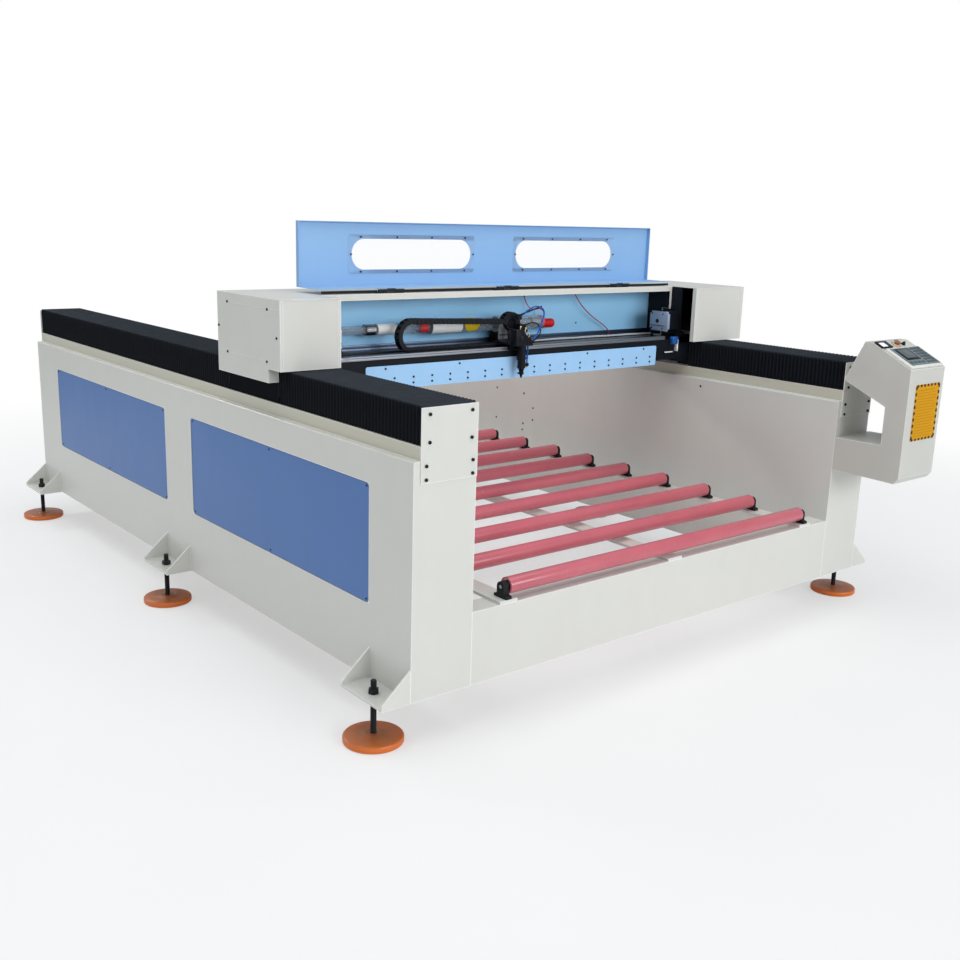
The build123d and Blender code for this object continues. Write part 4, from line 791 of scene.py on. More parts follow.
THREAD_PITCH = 2.7
thread = [(0, 14.8), (8, 14.8)]
for turn in range(66):
    thread += [(8.6, 16 + turn * THREAD_PITCH), (9.5, 17.35 + turn * THREAD_PITCH)]
thread += [(8.6, 194.6), (7.6, 196), (0, 196)]
bm = bmesh.new()
for count, (x, y) in enumerate(foot_spots):
    turned(bm, (x, y, 0), thread, "Z", 24)
    hexagon(bm, x, y, 129.2, 144.9, 29.6, count)
    hexagon(bm, x, y, 153.2, 168.9, 29.6, count * 0.7 + 0.4)
piece("levelling_screws", bm, black_steel, "frame", ["foot_screws"])


def cap_screw(bm, spot, out, radius=4.5, height=4.0, recess=True):
    """Round screw head that stands on a face; out is the direction it looks in."""
    out = Vector(out).normalized()
    turn = out.to_track_quat("Z", "Y").to_matrix().to_4x4()
    outline = [(0, 0), (radius, 0), (radius, height * 0.75), (radius * 0.94, height * 0.93),
               (radius * 0.84, height)]
    if recess:
        outline += [(radius * 0.55, height), (radius * 0.5, height * 0.45), (0, height * 0.4)]
    else:
        outline += [(0, height * 1.08)]
    turned(bm, spot, outline, turn, 16)


def screws(name, spots, out, body, radius=4.5, height=4.0, recess=True):
    """One piece with a screw head at every spot."""
    bm = bmesh.new()
    for spot in spots:
        cap_screw(bm, spot, out, radius, height, recess)
    piece(name, bm, black_steel, body)


def mirrored(names, lines, spots, body, radius, height):
    """The same screws on two faces that look left and right, at two lines of x."""
    for name, x, way in zip(names, lines, (-1, 1)):
        screws(name, [(x, y, z) for y, z in spots], (way, 0, 0), body, radius, height)


bolt_rows = ((1002.5, 51, 201.5), (922.5, 51, 201.5), (855.5, 41, 207.5), (816, 41, 207.5))
for name, y, way in (("end_plate_bolts_front", -END_PLATE, -1),
                     ("end_plate_bolts_rear", BED_LENGTH + END_PLATE, 1)):
    screws(name, [(wall + x, y, z) for z, *pair in bolt_rows for wall in (0, RIGHT_WALL)
                  for x in pair], (0, way, 0), "frame", 5.2, 4.5)

SKIRT_FACE = 800
skirt_spots = [(404 + 83.8 * column, SKIRT_FACE, z) for column in range(18) for z in (967, 946)]
skirt_spots += [(x, SKIRT_FACE, 1003) for x in (449, 782, 1115, 1449, 1787)]
screws("skirt_bolts", skirt_spots, (0, -1, 0), "gantry", 3.8, 3.0)

panel_spots = [(start + (end - start) * share, z) for start, end in PANELS
               for share in (0.012, 0.5, 0.988) for z in (PANEL_LOW + 11, PANEL_HIGH - 11)]
mirrored(("side_panel_screws_left", "side_panel_screws_right"), (1, BED_WIDTH - 1), panel_spots,
         "frame", 3.4, 1.6)


# Drag chain

CHAIN_FRONT = 862
CHAIN_REAR = 892
CHAIN_BOTTOM = 1040
CHAIN_FALL = 17
BEND_RADIUS = 64.5
BEND_CENTRE = 612
BEND_LINKS = 9
LINK_PITCH = 20
LINK_HALF = 10.5
LOWER_FIXED = 1165
LOWER_MOVING = 566
UPPER_REACH = 490
HOOP_FACE = 1047
HOOP_CENTRE = 1088
HOOP_RADIUS = 46
HOOP_HEIGHT = 1132


def chain_link(bm, spot, angle, length=LINK_PITCH):
    """One link: two shaped cheeks, a cross bar over and one under, turned about its middle."""
    x, z = spot
    middle = Matrix.Translation(place(x, 0, z))
    high = LINK_HALF - 1
    made = []
    for y, step in ((CHAIN_FRONT, 1.6), (CHAIN_REAR - 4, -1.6)):
        made += box(bm, (x - length * 0.58, y, z - high),
                    (x + length * 0.40, y + 4, z + high), 1.3, 1)
        made += box(bm, (x + length * 0.30, y + step, z - high + 1.4),
                    (x + length * 0.62, y + step + 4, z + high - 1.4), 1.0, 1)
    for low in (0.2 - LINK_HALF, LINK_HALF - 2.2):
        made += box(bm, (x - length * 0.40, CHAIN_FRONT + 2, z + low),
                    (x + length * 0.22, CHAIN_REAR - 2, z + low + 2), 0.6, 1)
    turn = middle @ Matrix.Rotation(-angle, 4, "Y") @ middle.inverted()
    bmesh.ops.transform(bm, matrix=turn, verts=made)


def straight_links(bm, x0, x1, z, fall=0):
    """Run of links that sinks by fall from x0 to x1."""
    count = round((x1 - x0) / LINK_PITCH)
    step = (x1 - x0) / count
    for number in range(count):
        share = (number + 0.5) / count
        chain_link(bm, (x0 + share * (x1 - x0), z - share * fall),
                   -math.atan(fall / (x1 - x0)), step)


def curved_links(bm, centre, radius, count, start):
    """Half turn of links about a centre, from a start angle on."""
    for number in range(count):
        angle = start + (number + 0.5) * math.pi / count
        spot = (centre[0] + radius * math.cos(angle), centre[1] + radius * math.sin(angle))
        chain_link(bm, spot, angle - math.pi / 2, math.pi * radius / count * 1.08)


bm = bmesh.new()
straight_links(bm, BEND_CENTRE, 1120, CHAIN_BOTTOM + LINK_HALF)
piece("chain_lower_links", bm, black_plastic, None, ["chain_lower_run"],
      blend=("gantry", "chain_bend", place(LOWER_FIXED, 0, 0), place(LOWER_MOVING, 0, 0)))
bm = bmesh.new()
straight_links(bm, BEND_CENTRE, HOOP_FACE, CHAIN_BOTTOM + 2 * BEND_RADIUS - LINK_HALF, CHAIN_FALL)
piece("chain_upper_links", bm, black_plastic, None, ["chain_upper_run"],
      blend=("gantry", "head", place(BEND_CENTRE - UPPER_REACH, 0, 0),
             place(BEND_CENTRE + UPPER_REACH, 0, 0)))
bm = bmesh.new()
curved_links(bm, (BEND_CENTRE, CHAIN_BOTTOM + BEND_RADIUS), BEND_RADIUS - LINK_HALF, BEND_LINKS,
             math.pi / 2)
piece("chain_bend_links", bm, black_plastic, "chain_bend", ["chain_bend"])


# Laser tube

TUBE_Y = 950
TUBE_Z = 1125
TUBE_START = 285
NECK_START = 451
NECK_END = 739
TUBE_END = 1322
TAIL_RADIUS = 16
NECK_RADIUS = 20
TUBE_RADIUS = 27.5
GLASS_WALL = 2.4
CAP_DROP = 8


def tube_ring(bm, x0, x1, outer, inner, sides=40, lip=0.6):
    """Short hollow sleeve round the tube's axis."""
    outline = [(inner, x0), (outer - lip, x0), (outer, x0 + lip), (outer, x1 - lip),
               (outer - lip, x1), (inner, x1), (inner, x0)]
    turned(bm, (0, TUBE_Y, TUBE_Z), outline, "X", sides)


def glass_wall(bm):
    """Jacket with a narrow tail, a neck and the full body, each shoulder blown round."""
    steps = [(TAIL_RADIUS, TUBE_START)]
    for radius, far_radius, spot in ((TAIL_RADIUS, NECK_RADIUS, NECK_START),
                                     (NECK_RADIUS, TUBE_RADIUS, NECK_END)):
        for share in range(7):
            rise = (1 - math.cos(math.pi * share / 6)) / 2
            steps.append((radius + (far_radius - radius) * rise, spot + 8 * share / 6))
    steps += [(TUBE_RADIUS, TUBE_END - 9), (TUBE_RADIUS - 0.8, TUBE_END - 4),
              (TUBE_RADIUS - GLASS_WALL, TUBE_END)]
    inside = [(radius - GLASS_WALL, spot) for radius, spot in steps[:-1]]
    turned(bm, (0, TUBE_Y, TUBE_Z), steps + inside[::-1] + steps[:1], "X", 48)


def round_label(bm, x, angle, radius, reach):
    """Disc of thin film laid on the tube, its middle at an angle above the front."""
    spokes, rings = 36, 7
    before = set(bm.verts)
    line = [bm.verts.new((reach * ring / rings / 1000, 0, 0)) for ring in range(rings + 1)]
    edges = [bm.edges.new(pair) for pair in zip(line, line[1:])]
    bmesh.ops.spin(bm, geom=line + edges, cent=(0, 0, 0), axis=(0, 0, 1), angle=2 * math.pi,
                   steps=spokes, use_merge=True, use_duplicate=False)
    for vert in [vert for vert in bm.verts if vert not in before]:
        turn = angle + vert.co.y * 1000 / radius
        vert.co = place(x + vert.co.x * 1000, TUBE_Y - radius * math.cos(turn),
                        TUBE_Z + radius * math.sin(turn))


bm = bmesh.new()
glass_wall(bm)
tube_ring(bm, TUBE_START + 10, TUBE_END - 10, 9, 7.6, 28)
tube_ring(bm, NECK_END + 30, TUBE_END - 100, 17.5, 16.6, 32)
for x in (NECK_END + 40, TUBE_END - 40):
    turned(bm, (x, TUBE_Y, TUBE_Z + 26), [(0, 0), (5, 0), (5, 12), (4, 16), (0, 16)], "Z", 20)
with painted(bm, 1):
    turned(bm, (TUBE_END, TUBE_Y, TUBE_Z),
           [(0, -10), (24.8, -10), (24.8, 1), (23.8, 2.4), (0, 2.4)], "X", 40)
    turned(bm, (TUBE_END, TUBE_Y, TUBE_Z - CAP_DROP),
           [(0, 1), (19.4, 1), (20, 2), (20, 7), (19.2, 9), (19, 12), (19, 50), (18.6, 56),
            (17, 60.5), (14, 63.4), (10.5, 64.6), (6, 65), (5.4, 66), (0, 66)], "X", 40)
with painted(bm, 6):
    z = TUBE_Z - CAP_DROP + 3
    rod(bm, (TUBE_END + 62, TUBE_Y, z), (TUBE_END + 73, TUBE_Y, z), 3.5, bevel=0.8)
with painted(bm, 2):
    turned(bm, (TUBE_START, TUBE_Y, TUBE_Z),
           [(0, 10), (13.3, 10), (13.3, 0), (18, -1), (18, -16), (16.5, -18), (11, -20),
            (10, -28), (6, -28), (6, -12), (0, -12)], "X", 40)
    tube_ring(bm, NECK_START + 6, NECK_START + 46, NECK_RADIUS + 0.6, NECK_RADIUS - 0.1, 40, 0.3)
    tube_ring(bm, TUBE_END - 62, TUBE_END - 18, 20, 17.5, 36)
with painted(bm, 3):
    tube_ring(bm, 506, 592, NECK_RADIUS + 0.5, NECK_RADIUS + 0.05, 48, 0.1)
    tube_ring(bm, 749, 892, TUBE_RADIUS + 0.5, TUBE_RADIUS + 0.05, 48, 0.1)
with painted(bm, 4):
    tube_ring(bm, 697, 734, NECK_RADIUS + 0.5, NECK_RADIUS + 0.05, 48, 0.1)
with painted(bm, 5):
    round_label(bm, 938, 0.35, TUBE_RADIUS + 0.7, 38)
piece("glass_laser_tube", bm, [tube_glass, red_plastic, electrode, label_white, label_red,
                               label_yellow, black_plastic], "gantry",
      ["laser_tube"])

COIL_START = TUBE_END - 98
COIL_TURNS = 5
COIL_LENGTH = 0.032
coil_steps = 14 * COIL_TURNS
bm = bmesh.new()
swept(bm, Matrix.Translation(place(COIL_START, TUBE_Y, TUBE_Z + 13.5))
      @ Matrix.Rotation(math.pi / 2, 4, "X"), 2.25, 8, place(COIL_START, TUBE_Y, TUBE_Z),
      (1, 0, 0), 2 * math.pi * COIL_TURNS, coil_steps, (COIL_LENGTH / coil_steps, 0, 0))
bmesh.ops.recalc_face_normals(bm, faces=bm.faces)
piece("tube_gas_coil", bm, tube_glass, "gantry")


def clamp(bm, x0, radius):
    """White block pair with a ring round the tube, on a black foot."""
    x1, half = x0 + 48, radius + 5
    tube_ring(bm, x0, x1, half, radius + 0.1, 44, 1.0)
    box(bm, (x0, TUBE_Y - half, 1064), (x1, TUBE_Y - half + 11, TUBE_Z - 4), 1.6)
    with painted(bm, 1):
        box(bm, (x0, TUBE_Y + half - 11, 1056), (x1, TUBE_Y + half, TUBE_Z - 12), 1.6)
        box(bm, (x0 - 1, TUBE_Y - half - 8, 1038.2), (x1 + 1, TUBE_Y + half + 8, 1056), 2.0)
        box(bm, (x0, TUBE_Y - half, 1056), (x1, TUBE_Y - half + 11, 1064), 1.0)
        box(bm, (x0 - 0.6, TUBE_Y - half - 0.8, 1081), (x1 + 0.6, TUBE_Y - half + 3, 1085), 0.6)
        for x in (x0 + 9, x1 - 9):
            cap_screw(bm, (x, TUBE_Y - half - 4, 1056), (0, 0, 1), 3.6, 3.0)


bm = bmesh.new()
clamp(bm, 300, TAIL_RADIUS)
clamp(bm, 1074, TUBE_RADIUS)
piece("tube_clamp_blocks", bm, [white_plastic, black_plastic], "gantry",
      ["tube_clamps"])


# Tray behind the beam

TRAY_TOP = 1038
glossy_tray = brushed("dark_tray_metal", (0.055, 0.058, 0.068), 0.22, (0.01, 1, 1), 0.06)
bm = bmesh.new()
box(bm, (BEAM_LEFT, 897, TRAY_TOP), (BEAM_RIGHT, 996.5, TRAY_TOP + 1.2))
piece("tray_floor", bm, glossy_tray, "gantry")
bm = bmesh.new()
box(bm, (BEAM_LEFT, 984, TRAY_TOP + 1.2), (BEAM_RIGHT, 997.5, TRAY_TOP + 16), 1.5)
box(bm, (BEAM_LEFT, 989, TRAY_TOP + 16), (BEAM_RIGHT, 997.5, TRAY_TOP + 28.5), 1.0)
for x in range(300, 2000, 212):
    cap_screw(bm, (x, 984, TRAY_TOP + 8.5), (0, -1, 0), 3.2, 2.4)
piece("tray_edge_strip", bm, tray_edge, "gantry")
bm = bmesh.new()
box(bm, (BEAM_LEFT, 940, TRAY_TOP + 1.2), (1040, 968, TRAY_TOP + 7.5), 1.5)
piece("tray_cable_duct", bm, dark_alloy, "gantry")
bm = bmesh.new()
box(bm, (300.5, 826, 1036), (1929.5, 833, 1041.5), 0.8)
box(bm, (240, 858, 1036.2), (1120, 901, 1039.6), 0.8)
with painted(bm, 1):
    box(bm, (217, 802, 1036.2), (299.6, 817, 1050), 0.8)
piece("chain_trough", bm, [dark_alloy, rail_steel], "gantry")

panel_holes = [(x, 1000, 1243) for x in (330, 620, 910, 1200, 1490, 1780)] + [(1569, 1000, 1105)]
screws("back_panel_screws", panel_holes, (0, -1, 0), "gantry", 3.4, 2.0)


# Cutting head

NOZZLE = (1055, 760, 0)
bm = bmesh.new()
box(bm, (1000, 776, 1063), (1134, 860, 1071), 1.2)
box(bm, (1050, 776, 1000), (1090, 784, 1063), 1.2)
box(bm, (1025, 792.5, 1039.8), (1085, 826.5, 1063), 1.5)
crest = [(1012, 1058), (1098, 1058), (1098, 1077), (1036, 1121), (1012, 1121)]
matrix = Matrix.Translation(place(1012, 776, 1058)) @ Matrix.Rotation(math.pi / 2, 4, "X")
plate(bm, [(x - 1012, z - 1058) for x, z in crest], 31, matrix, 1.6)
box(bm, (1104, 828, 1071), (1134, 892, HOOP_HEIGHT), 2.0)
box(bm, (1104, 800, 1060), (1134, 828, 1074), 1.5)
turned(bm, NOZZLE, [(12.1, 972), (15, 972), (16, 973), (16, 984), (15.2, 985), (15.2, 987),
                    (16, 988), (16, 1000), (15.2, 1001), (15.2, 1003), (16, 1004), (16, 1058),
                    (12.1, 1058), (12.1, 972)], "Z", 36)
piece("head_block", bm, black_coat, "head", ["head_carriage"])

bm = bmesh.new()
curved_links(bm, (HOOP_CENTRE, HOOP_HEIGHT), HOOP_RADIUS - LINK_HALF, 7, 0)
for y, bend, radius in ((868, 23, 4.5), (877, 24, 5), (886, 22, 4), (872.5, 15.5, 3.5),
                        (882, 15, 4), (869, 8, 3.5), (878, 7, 4)):
    swept(bm, Matrix.Translation(place(HOOP_CENTRE + bend, y, HOOP_HEIGHT)), radius, 12,
          place(HOOP_CENTRE, y, HOOP_HEIGHT), (0, -1, 0), 1.5 * math.pi, 33)
    z = HOOP_HEIGHT - bend
    rod(bm, (HOOP_CENTRE - 2, y, z), (1108, y, z), radius, sides=12)
bmesh.ops.recalc_face_normals(bm, faces=bm.faces)
for x, y, top in ((1077, 867, 1108), (1086, 869, 1112), (1095, 867, 1110), (1082, 876, 1109),
                  (1092, 877, 1111)):
    rod(bm, (x, 866, 1068), (x, y, top), 4.2, sides=12, bevel=0.8)
box(bm, (1070, 857, 1063.5), (1104, 882, 1071), 1.5)
piece("chain_hoop", bm, black_plastic, "head")

bm = bmesh.new()
for spot, out, radius, height in (((1020, 745, 1066), (0, -1, 0), 3.2, 2.5),
                                  ((1020, 745, 1112), (0, -1, 0), 3.2, 2.5),
                                  ((1090, 745, 1066), (0, -1, 0), 3.2, 2.5),
                                  ((1040, 745, 1090), (0, -1, 0), 9, 3),
                                  ((1020, 800, 1071), (0, 0, 1), 3.6, 3),
                                  ((1090, 800, 1071), (0, 0, 1), 3.6, 3),
                                  ((1055, 844, 1071), (0, 0, 1), 3.6, 3),
                                  ((1082, 776, 1008), (0, -1, 0), 3, 2.5)):
    cap_screw(bm, spot, out, radius, height)
piece("head_screws", bm, black_steel, "head")

bm = bmesh.new()
for x, low, high in ((1045, 1113, 1131), (1071, 1095, 1124), (1091, 1081, 1099)):
    rod(bm, (x - 3, 762, low), (x - 2, 762, low + 5), 3.2, sides=6, bevel=0.4)
    rod(bm, (x - 2, 762, low + 4), (x, 762, high - 3), 1.6, sides=16, bevel=0.3)
    rod(bm, (x, 762, high - 4), (x + 1.4, 762, high + 3), 3.6, sides=20, bevel=0.7)
rod(bm, (1099, 762, 1084), (1104, 762, 1084), 5.4, sides=6, bevel=0.5)
rod(bm, (1080, 760, 978), (1086, 760, 978), 4.6, sides=6, bevel=0.4)
rod(bm, (1083, 760, 979), (1083, 760, 990), 4.2, sides=24, bevel=0.5)
piece("brass_fittings", bm, brass, "head")
bm = bmesh.new()
box(bm, (1069, 755, 978), (1089, 765, 990), 1.2)
rod(bm, (1096, 762, 1084), (1104.2, 762, 1084), 5.0, bevel=0.5)
piece("hose_elbow", bm, black_coat, "head")

bm = bmesh.new()
rod(bm, (1134, 806, 1067), (1147, 806, 1067), 5.2, 3.4, bevel=0.8)
rod(bm, (1134, 878, 1116), (1146, 878, 1116), 5.2, 3.4, bevel=0.8)
rod(bm, (1112, 852, 1164), (1112, 866, 1164), 5.6, bevel=0.8)
box(bm, (1092, 822, 1160), (1100, 834, 1172), 1.0)
tail = box(bm, (1098, 827.5, 1166), (1216, 828.7, 1172), 0.3, 1)
bmesh.ops.rotate(bm, verts=tail, cent=place(1098, 828, 1169), matrix=Matrix.Rotation(-0.26, 3, "Y"))
box(bm, (1088, 826, 1150), (1108, 836, 1168), 1.5)
piece("hose_grommets_and_tie", bm, black_plastic, "head")

bm = bmesh.new()
turned(bm, NOZZLE, [(0, 934), (2.2, 934), (3, 935), (4.2, 939), (9.6, 962), (11, 966.5),
                    (12, 969), (12, 970.6), (11.2, 971.2), (11.2, 971.8), (12, 972.4),
                    (12, 1030), (0, 1030)], "Z", 36)
turned(bm, NOZZLE, [(6.4, 948.5), (10.4, 948.5), (11, 949.5), (11, 954.5), (10.4, 955.5),
                    (6.4, 955.5), (6.4, 948.5)], "Z", 30)
piece("lens_tube_and_nozzle", bm, black_coat, "focus", ["focus_tube"])


# Motor, switch and painted shade inside the right cover

MOTOR_FACE = 1928.4
MOTOR_Y = 858
MOTOR_Z = 1113
half, clip = 42.6, 33
front, back, step = -61, 44, 9
square = [(front, -clip), (front + step, -clip), (front + step, -half), (back - step, -half),
          (back - step, -clip), (back, -clip), (back, clip), (back - step, clip),
          (back - step, half), (front + step, half), (front + step, clip), (front, clip)]
matrix = (Matrix.Translation(place(MOTOR_FACE + 0.2, MOTOR_Y, MOTOR_Z))
          @ Matrix.Rotation(math.pi / 2, 4, "Y"))
bm = bmesh.new()
plate(bm, [(-z, y) for y, z in square], 14, matrix, 1.6)
piece("motor_end_cap", bm, motor_alloy, "gantry")
bm = bmesh.new()
cap_screw(bm, (MOTOR_FACE, MOTOR_Y, MOTOR_Z), (-1, 0, 0), 9, 1.2)
for z in (MOTOR_Z - 31, MOTOR_Z + 31):
    for y in (MOTOR_Y - 31, MOTOR_Y + 31):
        cap_screw(bm, (MOTOR_FACE, y, z), (-1, 0, 0), 3.4, 1.0)
box(bm, (1927, 814, 1092), (1929, 902, 1094.2), 0.5)
box(bm, (1960, 900, 1098), (1992, 914, 1126), 2)
piece("motor_details", bm, black_plastic, "gantry")

# black sheets inside the right cover: painted shade for its dark inside
bm = bmesh.new()
box(bm, (2028, 724.5, 1035), (2338, 726.5, 1259), 0.4)
box(bm, (2336.5, 724.5, 1035), (2338.5, 1162, 1259), 0.4)
box(bm, (2029, 724.5, 1257.5), (2338, 1162, 1259.3), 0.4)
box(bm, (2150, 1158, 1035), (2338, 1161, 1259), 0.4)
piece("right_cover_painted_shade", bm, black_plastic, "gantry")
bm = bmesh.new()
rod(bm, (2120, 768, 948), (2120, 768, 1222), 26, bevel=2.5)
rod(bm, (2120, 768, 1222), (2120, 768, 1238), 14, bevel=2)
box(bm, (2088, 790, 948), (2150, 806, 1215), 2)
piece("cover_inside_gear", bm, black_plastic, "gantry")

bm = bmesh.new()
box(bm, (1956, 784, 1016), (1990, 799.8, 1048), 1.6)
box(bm, (1962, 782.5, 1020), (1984, 785, 1028), 0.8)
for x in (1966, 1980):
    rod(bm, (x, 784.5, 1042), (x, 782, 1042), 2.4)
rod(bm, (1952, 788, 1042), (1952, 795, 1042), 3.4)
box(bm, (1951, 790.5, 1040.8), (1962, 792.5, 1043), 0.4)
with painted(bm, 1):
    box(bm, (1988, 786, 983), (1995, 802.5, 1034), 0.8)
    box(bm, (1912, 786, 981), (1962, 790, 985.5), 0.8)
with painted(bm, 2):
    box(bm, (1956, 799.9, 1004), (1992, 802.9, 1050), 0.6)
    box(bm, (1961, 786, 981), (1994, 790, 985.5), 0.8)
piece("limit_switch_parts", bm, [switch_blue, white_plastic, black_plastic], "gantry",
      ["limit_switch"])


# Covers, hood and cabinet details

COVER_LEFT = -13
COVER_RIGHT = BED_WIDTH + 61
mirrored(("left_cover_screws", "right_cover_screws"), (COVER_LEFT, COVER_RIGHT),
         ((1088, 1230), (805, 1226), (1155, 1144), (744, 1138), (1092, 1058), (811, 1055)),
         "gantry", 4.2, 2.6)

bm = bmesh.new()
for x, width, side in ((COVER_LEFT, 229, COVER_LEFT - 0.3), (2017, 324, COVER_RIGHT + 0.3)):
    box(bm, (x + 1, 719.6, 1261.2), (x + width - 1, 722.2, 1262.6), 0.4)
    for edge in (x + 2, x + width - 12):
        box(bm, (edge, 721.2, 1034), (edge + 10, 722.2, 1258), 0.3, 1)
    for z, start, end in ((1228, 728, 1084), (1056.5, 815, 1090)):
        box(bm, (side - 0.3, start, z), (side + 0.3, end, z + 1.4), 0.2, 1)
piece("cover_seams", bm, ivory, "gantry")
screws("cover_flange_bolts", [(17, 869, 999), (2258, 869, 999)], (0, -1, 0), "gantry", 3.2, 2.4)

# black sheet on the right cover's inner wall: painted shade where that wall lies in shadow; the
# ivory strip is its front edge
bm = bmesh.new()
box(bm, (2014.6, 866, 1165), (2016.8, 996, 1257), 0.4)
box(bm, (2014.6, 914, 1046), (2016.8, 996, 1166), 0.4)
with painted(bm, 1):
    box(bm, (2007, 862.6, 1163), (2018, 865.6, 1257), 0.6)
piece("inner_wall_painted_shade", bm, [black_coat, ivory], "gantry")

RIM = 2.6
bm = bmesh.new()
for start, end in PANELS:
    for x0, x1 in ((-0.8, 1.6), (BED_WIDTH - 1.6, BED_WIDTH + 0.8)):
        for z in (PANEL_LOW - RIM, PANEL_HIGH):
            box(bm, (x0, start - RIM, z), (x1, end + RIM, z + RIM), 0.4, 1)
        for y in (start - RIM, end):
            box(bm, (x0, y, PANEL_LOW), (x1, y + RIM, PANEL_HIGH), 0.4, 1)
piece("panel_rims", bm, ivory, "frame")

plug_spots = ((2082, 639), (2082, 477), (1862, 638), (1862, 478), (1866, 444), (1788, 570),
              (1788, 507), (693, 836))
screws("wall_plugs", [(RIGHT_WALL - 0.4, y, z) for y, z in plug_spots], (-1, 0, 0), "frame", 5,
       1.2, recess=False)

# black strip under the hood's lower edge: painted shade in the gap between hood and cover
bm = bmesh.new()
for x0, x1 in ((232, 462), (578, 1010), (1126, 1634), (1750, 2002)):
    box(bm, (x0, 873.5, 1264.5), (x1, 876.5, 1273.5), 0.8)
piece("hood_gap_painted_shade", bm, belt_rubber, "hood")

WINDOW_Z = 1392
bm = bmesh.new()
for x in (723.5, 1506.5):
    spots = [(x + (share - 1.5) * 160, z) for share in range(4)
             for z in (WINDOW_Z - 62, WINDOW_Z + 62)]
    for across, z in spots + [(x - 282, WINDOW_Z), (x + 282, WINDOW_Z)]:
        cap_screw(bm, (across, 1015, z), (0, -1, 0), 3.6, 2.0)
piece("window_screws", bm, black_steel, "hood")

HINGES = (520, 1068, 1692)
bm = bmesh.new()
for x in HINGES:
    for step in (-42, -16, 16, 42):
        cap_screw(bm, (x + step, 893, 1279.4), (0, 0, 1), 3.4, 0.9, False)
    box(bm, (x - 55, 872.5, 1279.4), (x + 55, 903.5, 1279.9), 0.15, 1)
    rod(bm, (x - 18, 871, 1272.5), (x + 18, 871, 1272.5), 4.9, sides=20)
    box(bm, (x - 18, 870.6, 1274), (x + 18, 872, 1279.6), 0.3, 1)
piece("hinge_rivets", bm, black_steel, "hood")

SLOPE_TOP = (RIGHT_WALL, -119, 1115)
slope_angle = math.atan2(86, 169)
down = Vector((0, -math.cos(slope_angle), -math.sin(slope_angle)))
out = Vector((0, -math.sin(slope_angle), math.cos(slope_angle)))


def on_slope(right, distance, lift=0.0):
    """Matrix on the cabinet's slope: X to the right, Y up the slope, Z outwards."""
    base = place(*SLOPE_TOP) + Vector((right, 0, 0)) / 1000 + (down * distance + out * lift) / 1000
    turn = Matrix((Vector((1, 0, 0)), -down, out)).transposed().to_4x4()
    return Matrix.Translation(base) @ turn


def slope_block(bm, right, distance, width, depth, low, high, corner, bevel):
    """Flat block with round corners on the slope, from its upper left corner."""
    matrix = on_slope(right + width / 2, distance + depth / 2, low)
    plate(bm, round_outline(width, depth, corner, 4), high - low, matrix, bevel)


bm = bmesh.new()
slope_block(bm, 24, 60, 206, 113, 7.4, 8.4, 4, 0.3)
with painted(bm, 1):
    slope_block(bm, 1, 3, 76, 42, 0.2, 5.6, 3, 0.8)
    slope_block(bm, 42, 66, 96, 72, 8.2, 9.0, 3, 0.3)
with painted(bm, 2):
    slope_block(bm, 58, 72, 72, 54, 8.8, 9.3, 1, 0.1)
with painted(bm, 3):
    slope_block(bm, 12, 14, 36, 25, 5.4, 6.1, 1, 0.1)
with painted(bm, 4):
    for row in range(6):
        for column in range(3):
            slope_block(bm, 152 + column * 25, 64 + row * 17.5, 20, 12, 8.2, 8.9, 2, 0.3)
    for column in range(4):
        slope_block(bm, 34 + column * 28, 149, 20, 12, 8.2, 8.9, 2, 0.3)
with painted(bm, 5):
    slope_block(bm, 5, 55, 228, 129, 0.2, 7.6, 6, 1.0)
piece("controller_and_meter", bm,
      [screen_dark, bezel_black, screen_lcd, screen_pale, key_grey, ivory],
      "frame", ["cabinet_screens"])

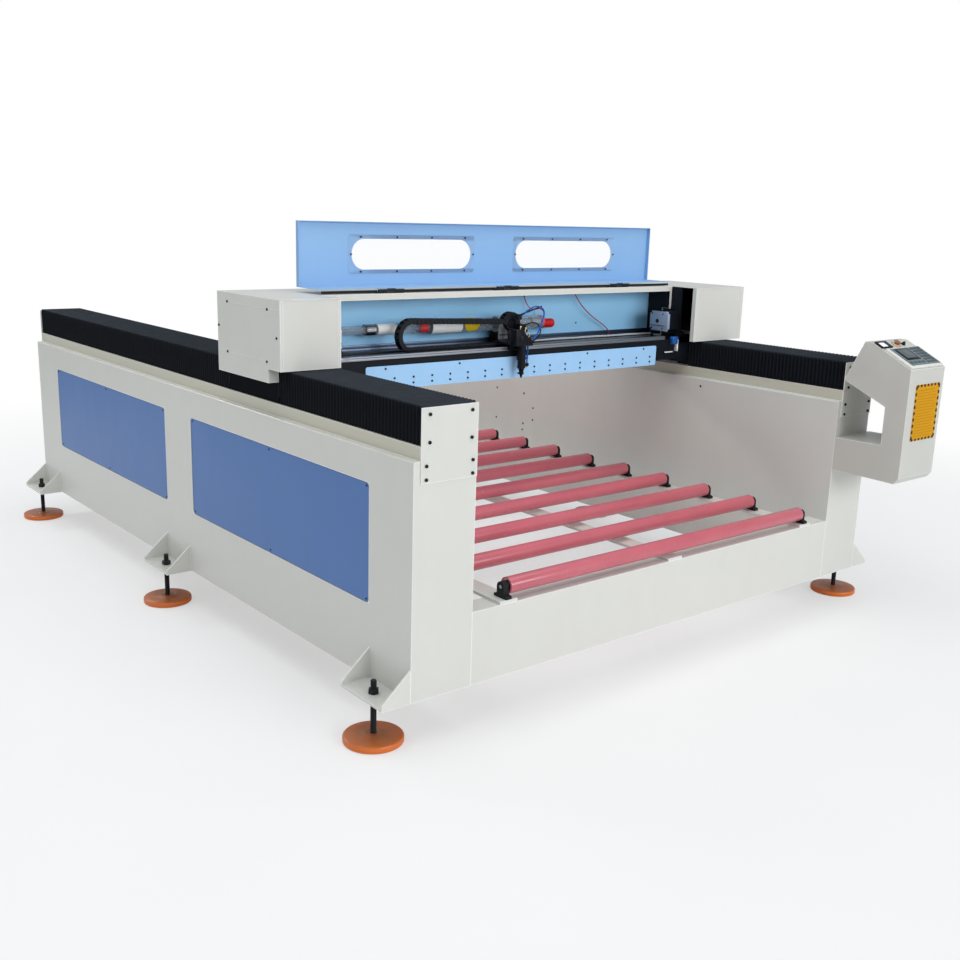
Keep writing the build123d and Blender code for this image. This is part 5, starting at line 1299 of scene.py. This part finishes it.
AMBER_LEFT = RIGHT_WALL + 48
AMBER_RIGHT = RIGHT_WALL + 220
AMBER_LOW = 754
AMBER_HIGH = 970
bm = bmesh.new()
box(bm, (AMBER_LEFT, -289.2, AMBER_LOW), (AMBER_RIGHT, -288.1, AMBER_HIGH), 0.2, 1)
with painted(bm, 1):
    across_steps, up_steps = 7, 9
    width = (AMBER_RIGHT - AMBER_LEFT) / across_steps
    rise = (AMBER_HIGH - AMBER_LOW) / up_steps
    for step in range(across_steps):
        x = AMBER_LEFT + width * (step + 0.25)
        for z in (AMBER_LOW, AMBER_HIGH - 9):
            box(bm, (x, -289.7, z), (x + width / 2, -289.0, z + 9), 0.1, 1)
    for step in range(up_steps):
        z = AMBER_LOW + rise * (step + 0.25)
        for x in (AMBER_LEFT, AMBER_RIGHT - 11):
            box(bm, (x, -289.7, z), (x + 11, -289.0, z + rise / 2), 0.1, 1)
with painted(bm, 2):
    for row in range(17):
        z = AMBER_LOW + 16 + row * 11
        short = 18 if row % 4 == 0 else 4 if row % 3 else 0
        box(bm, (AMBER_LEFT + 17, -289.5, z), (AMBER_RIGHT - 17 - short, -289.0, z + 3.6), 0.1, 1)
piece("plain_amber_plate", bm, [amber, black_plastic, amber_print], "frame")

bm = bmesh.new()
box(bm, (2296.6, -284, 640), (2299.4, -60, 1030), 0.8)
for z in (660, 840, 1010):
    cap_screw(bm, (2299.2, -200, z), (1, 0, 0), 4, 2.5)
piece("cabinet_side_door", bm, ivory, "frame")

bm = bmesh.new()
turn = on_slope(123, 27)
flat = turn.to_quaternion().to_matrix().to_4x4()
spot = turn.translation
centre = (spot.x * 1000 + BED_WIDTH / 2, spot.y * 1000 + MIDDLE_Y, spot.z * 1000)
turned(bm, centre, [(0, 0.4), (19, 0.4), (19.5, 1), (19.5, 2.2), (19, 2.6), (14.2, 2.6)], flat, 40)
piece("stop_button_ring", bm, stop_beige, "frame")
bm = bmesh.new()
turned(bm, centre, [(0, -20), (8.9, -20), (8.9, 9), (12.2, 9), (13.6, 9.6), (14, 10.8), (14, 12.4),
                    (13.4, 14.4), (11, 16), (7, 16.6), (3.5, 16.8), (0, 16.8)], flat, 44)
piece("stop_button_head", bm, stop_red, "estop", ["estop_button"])
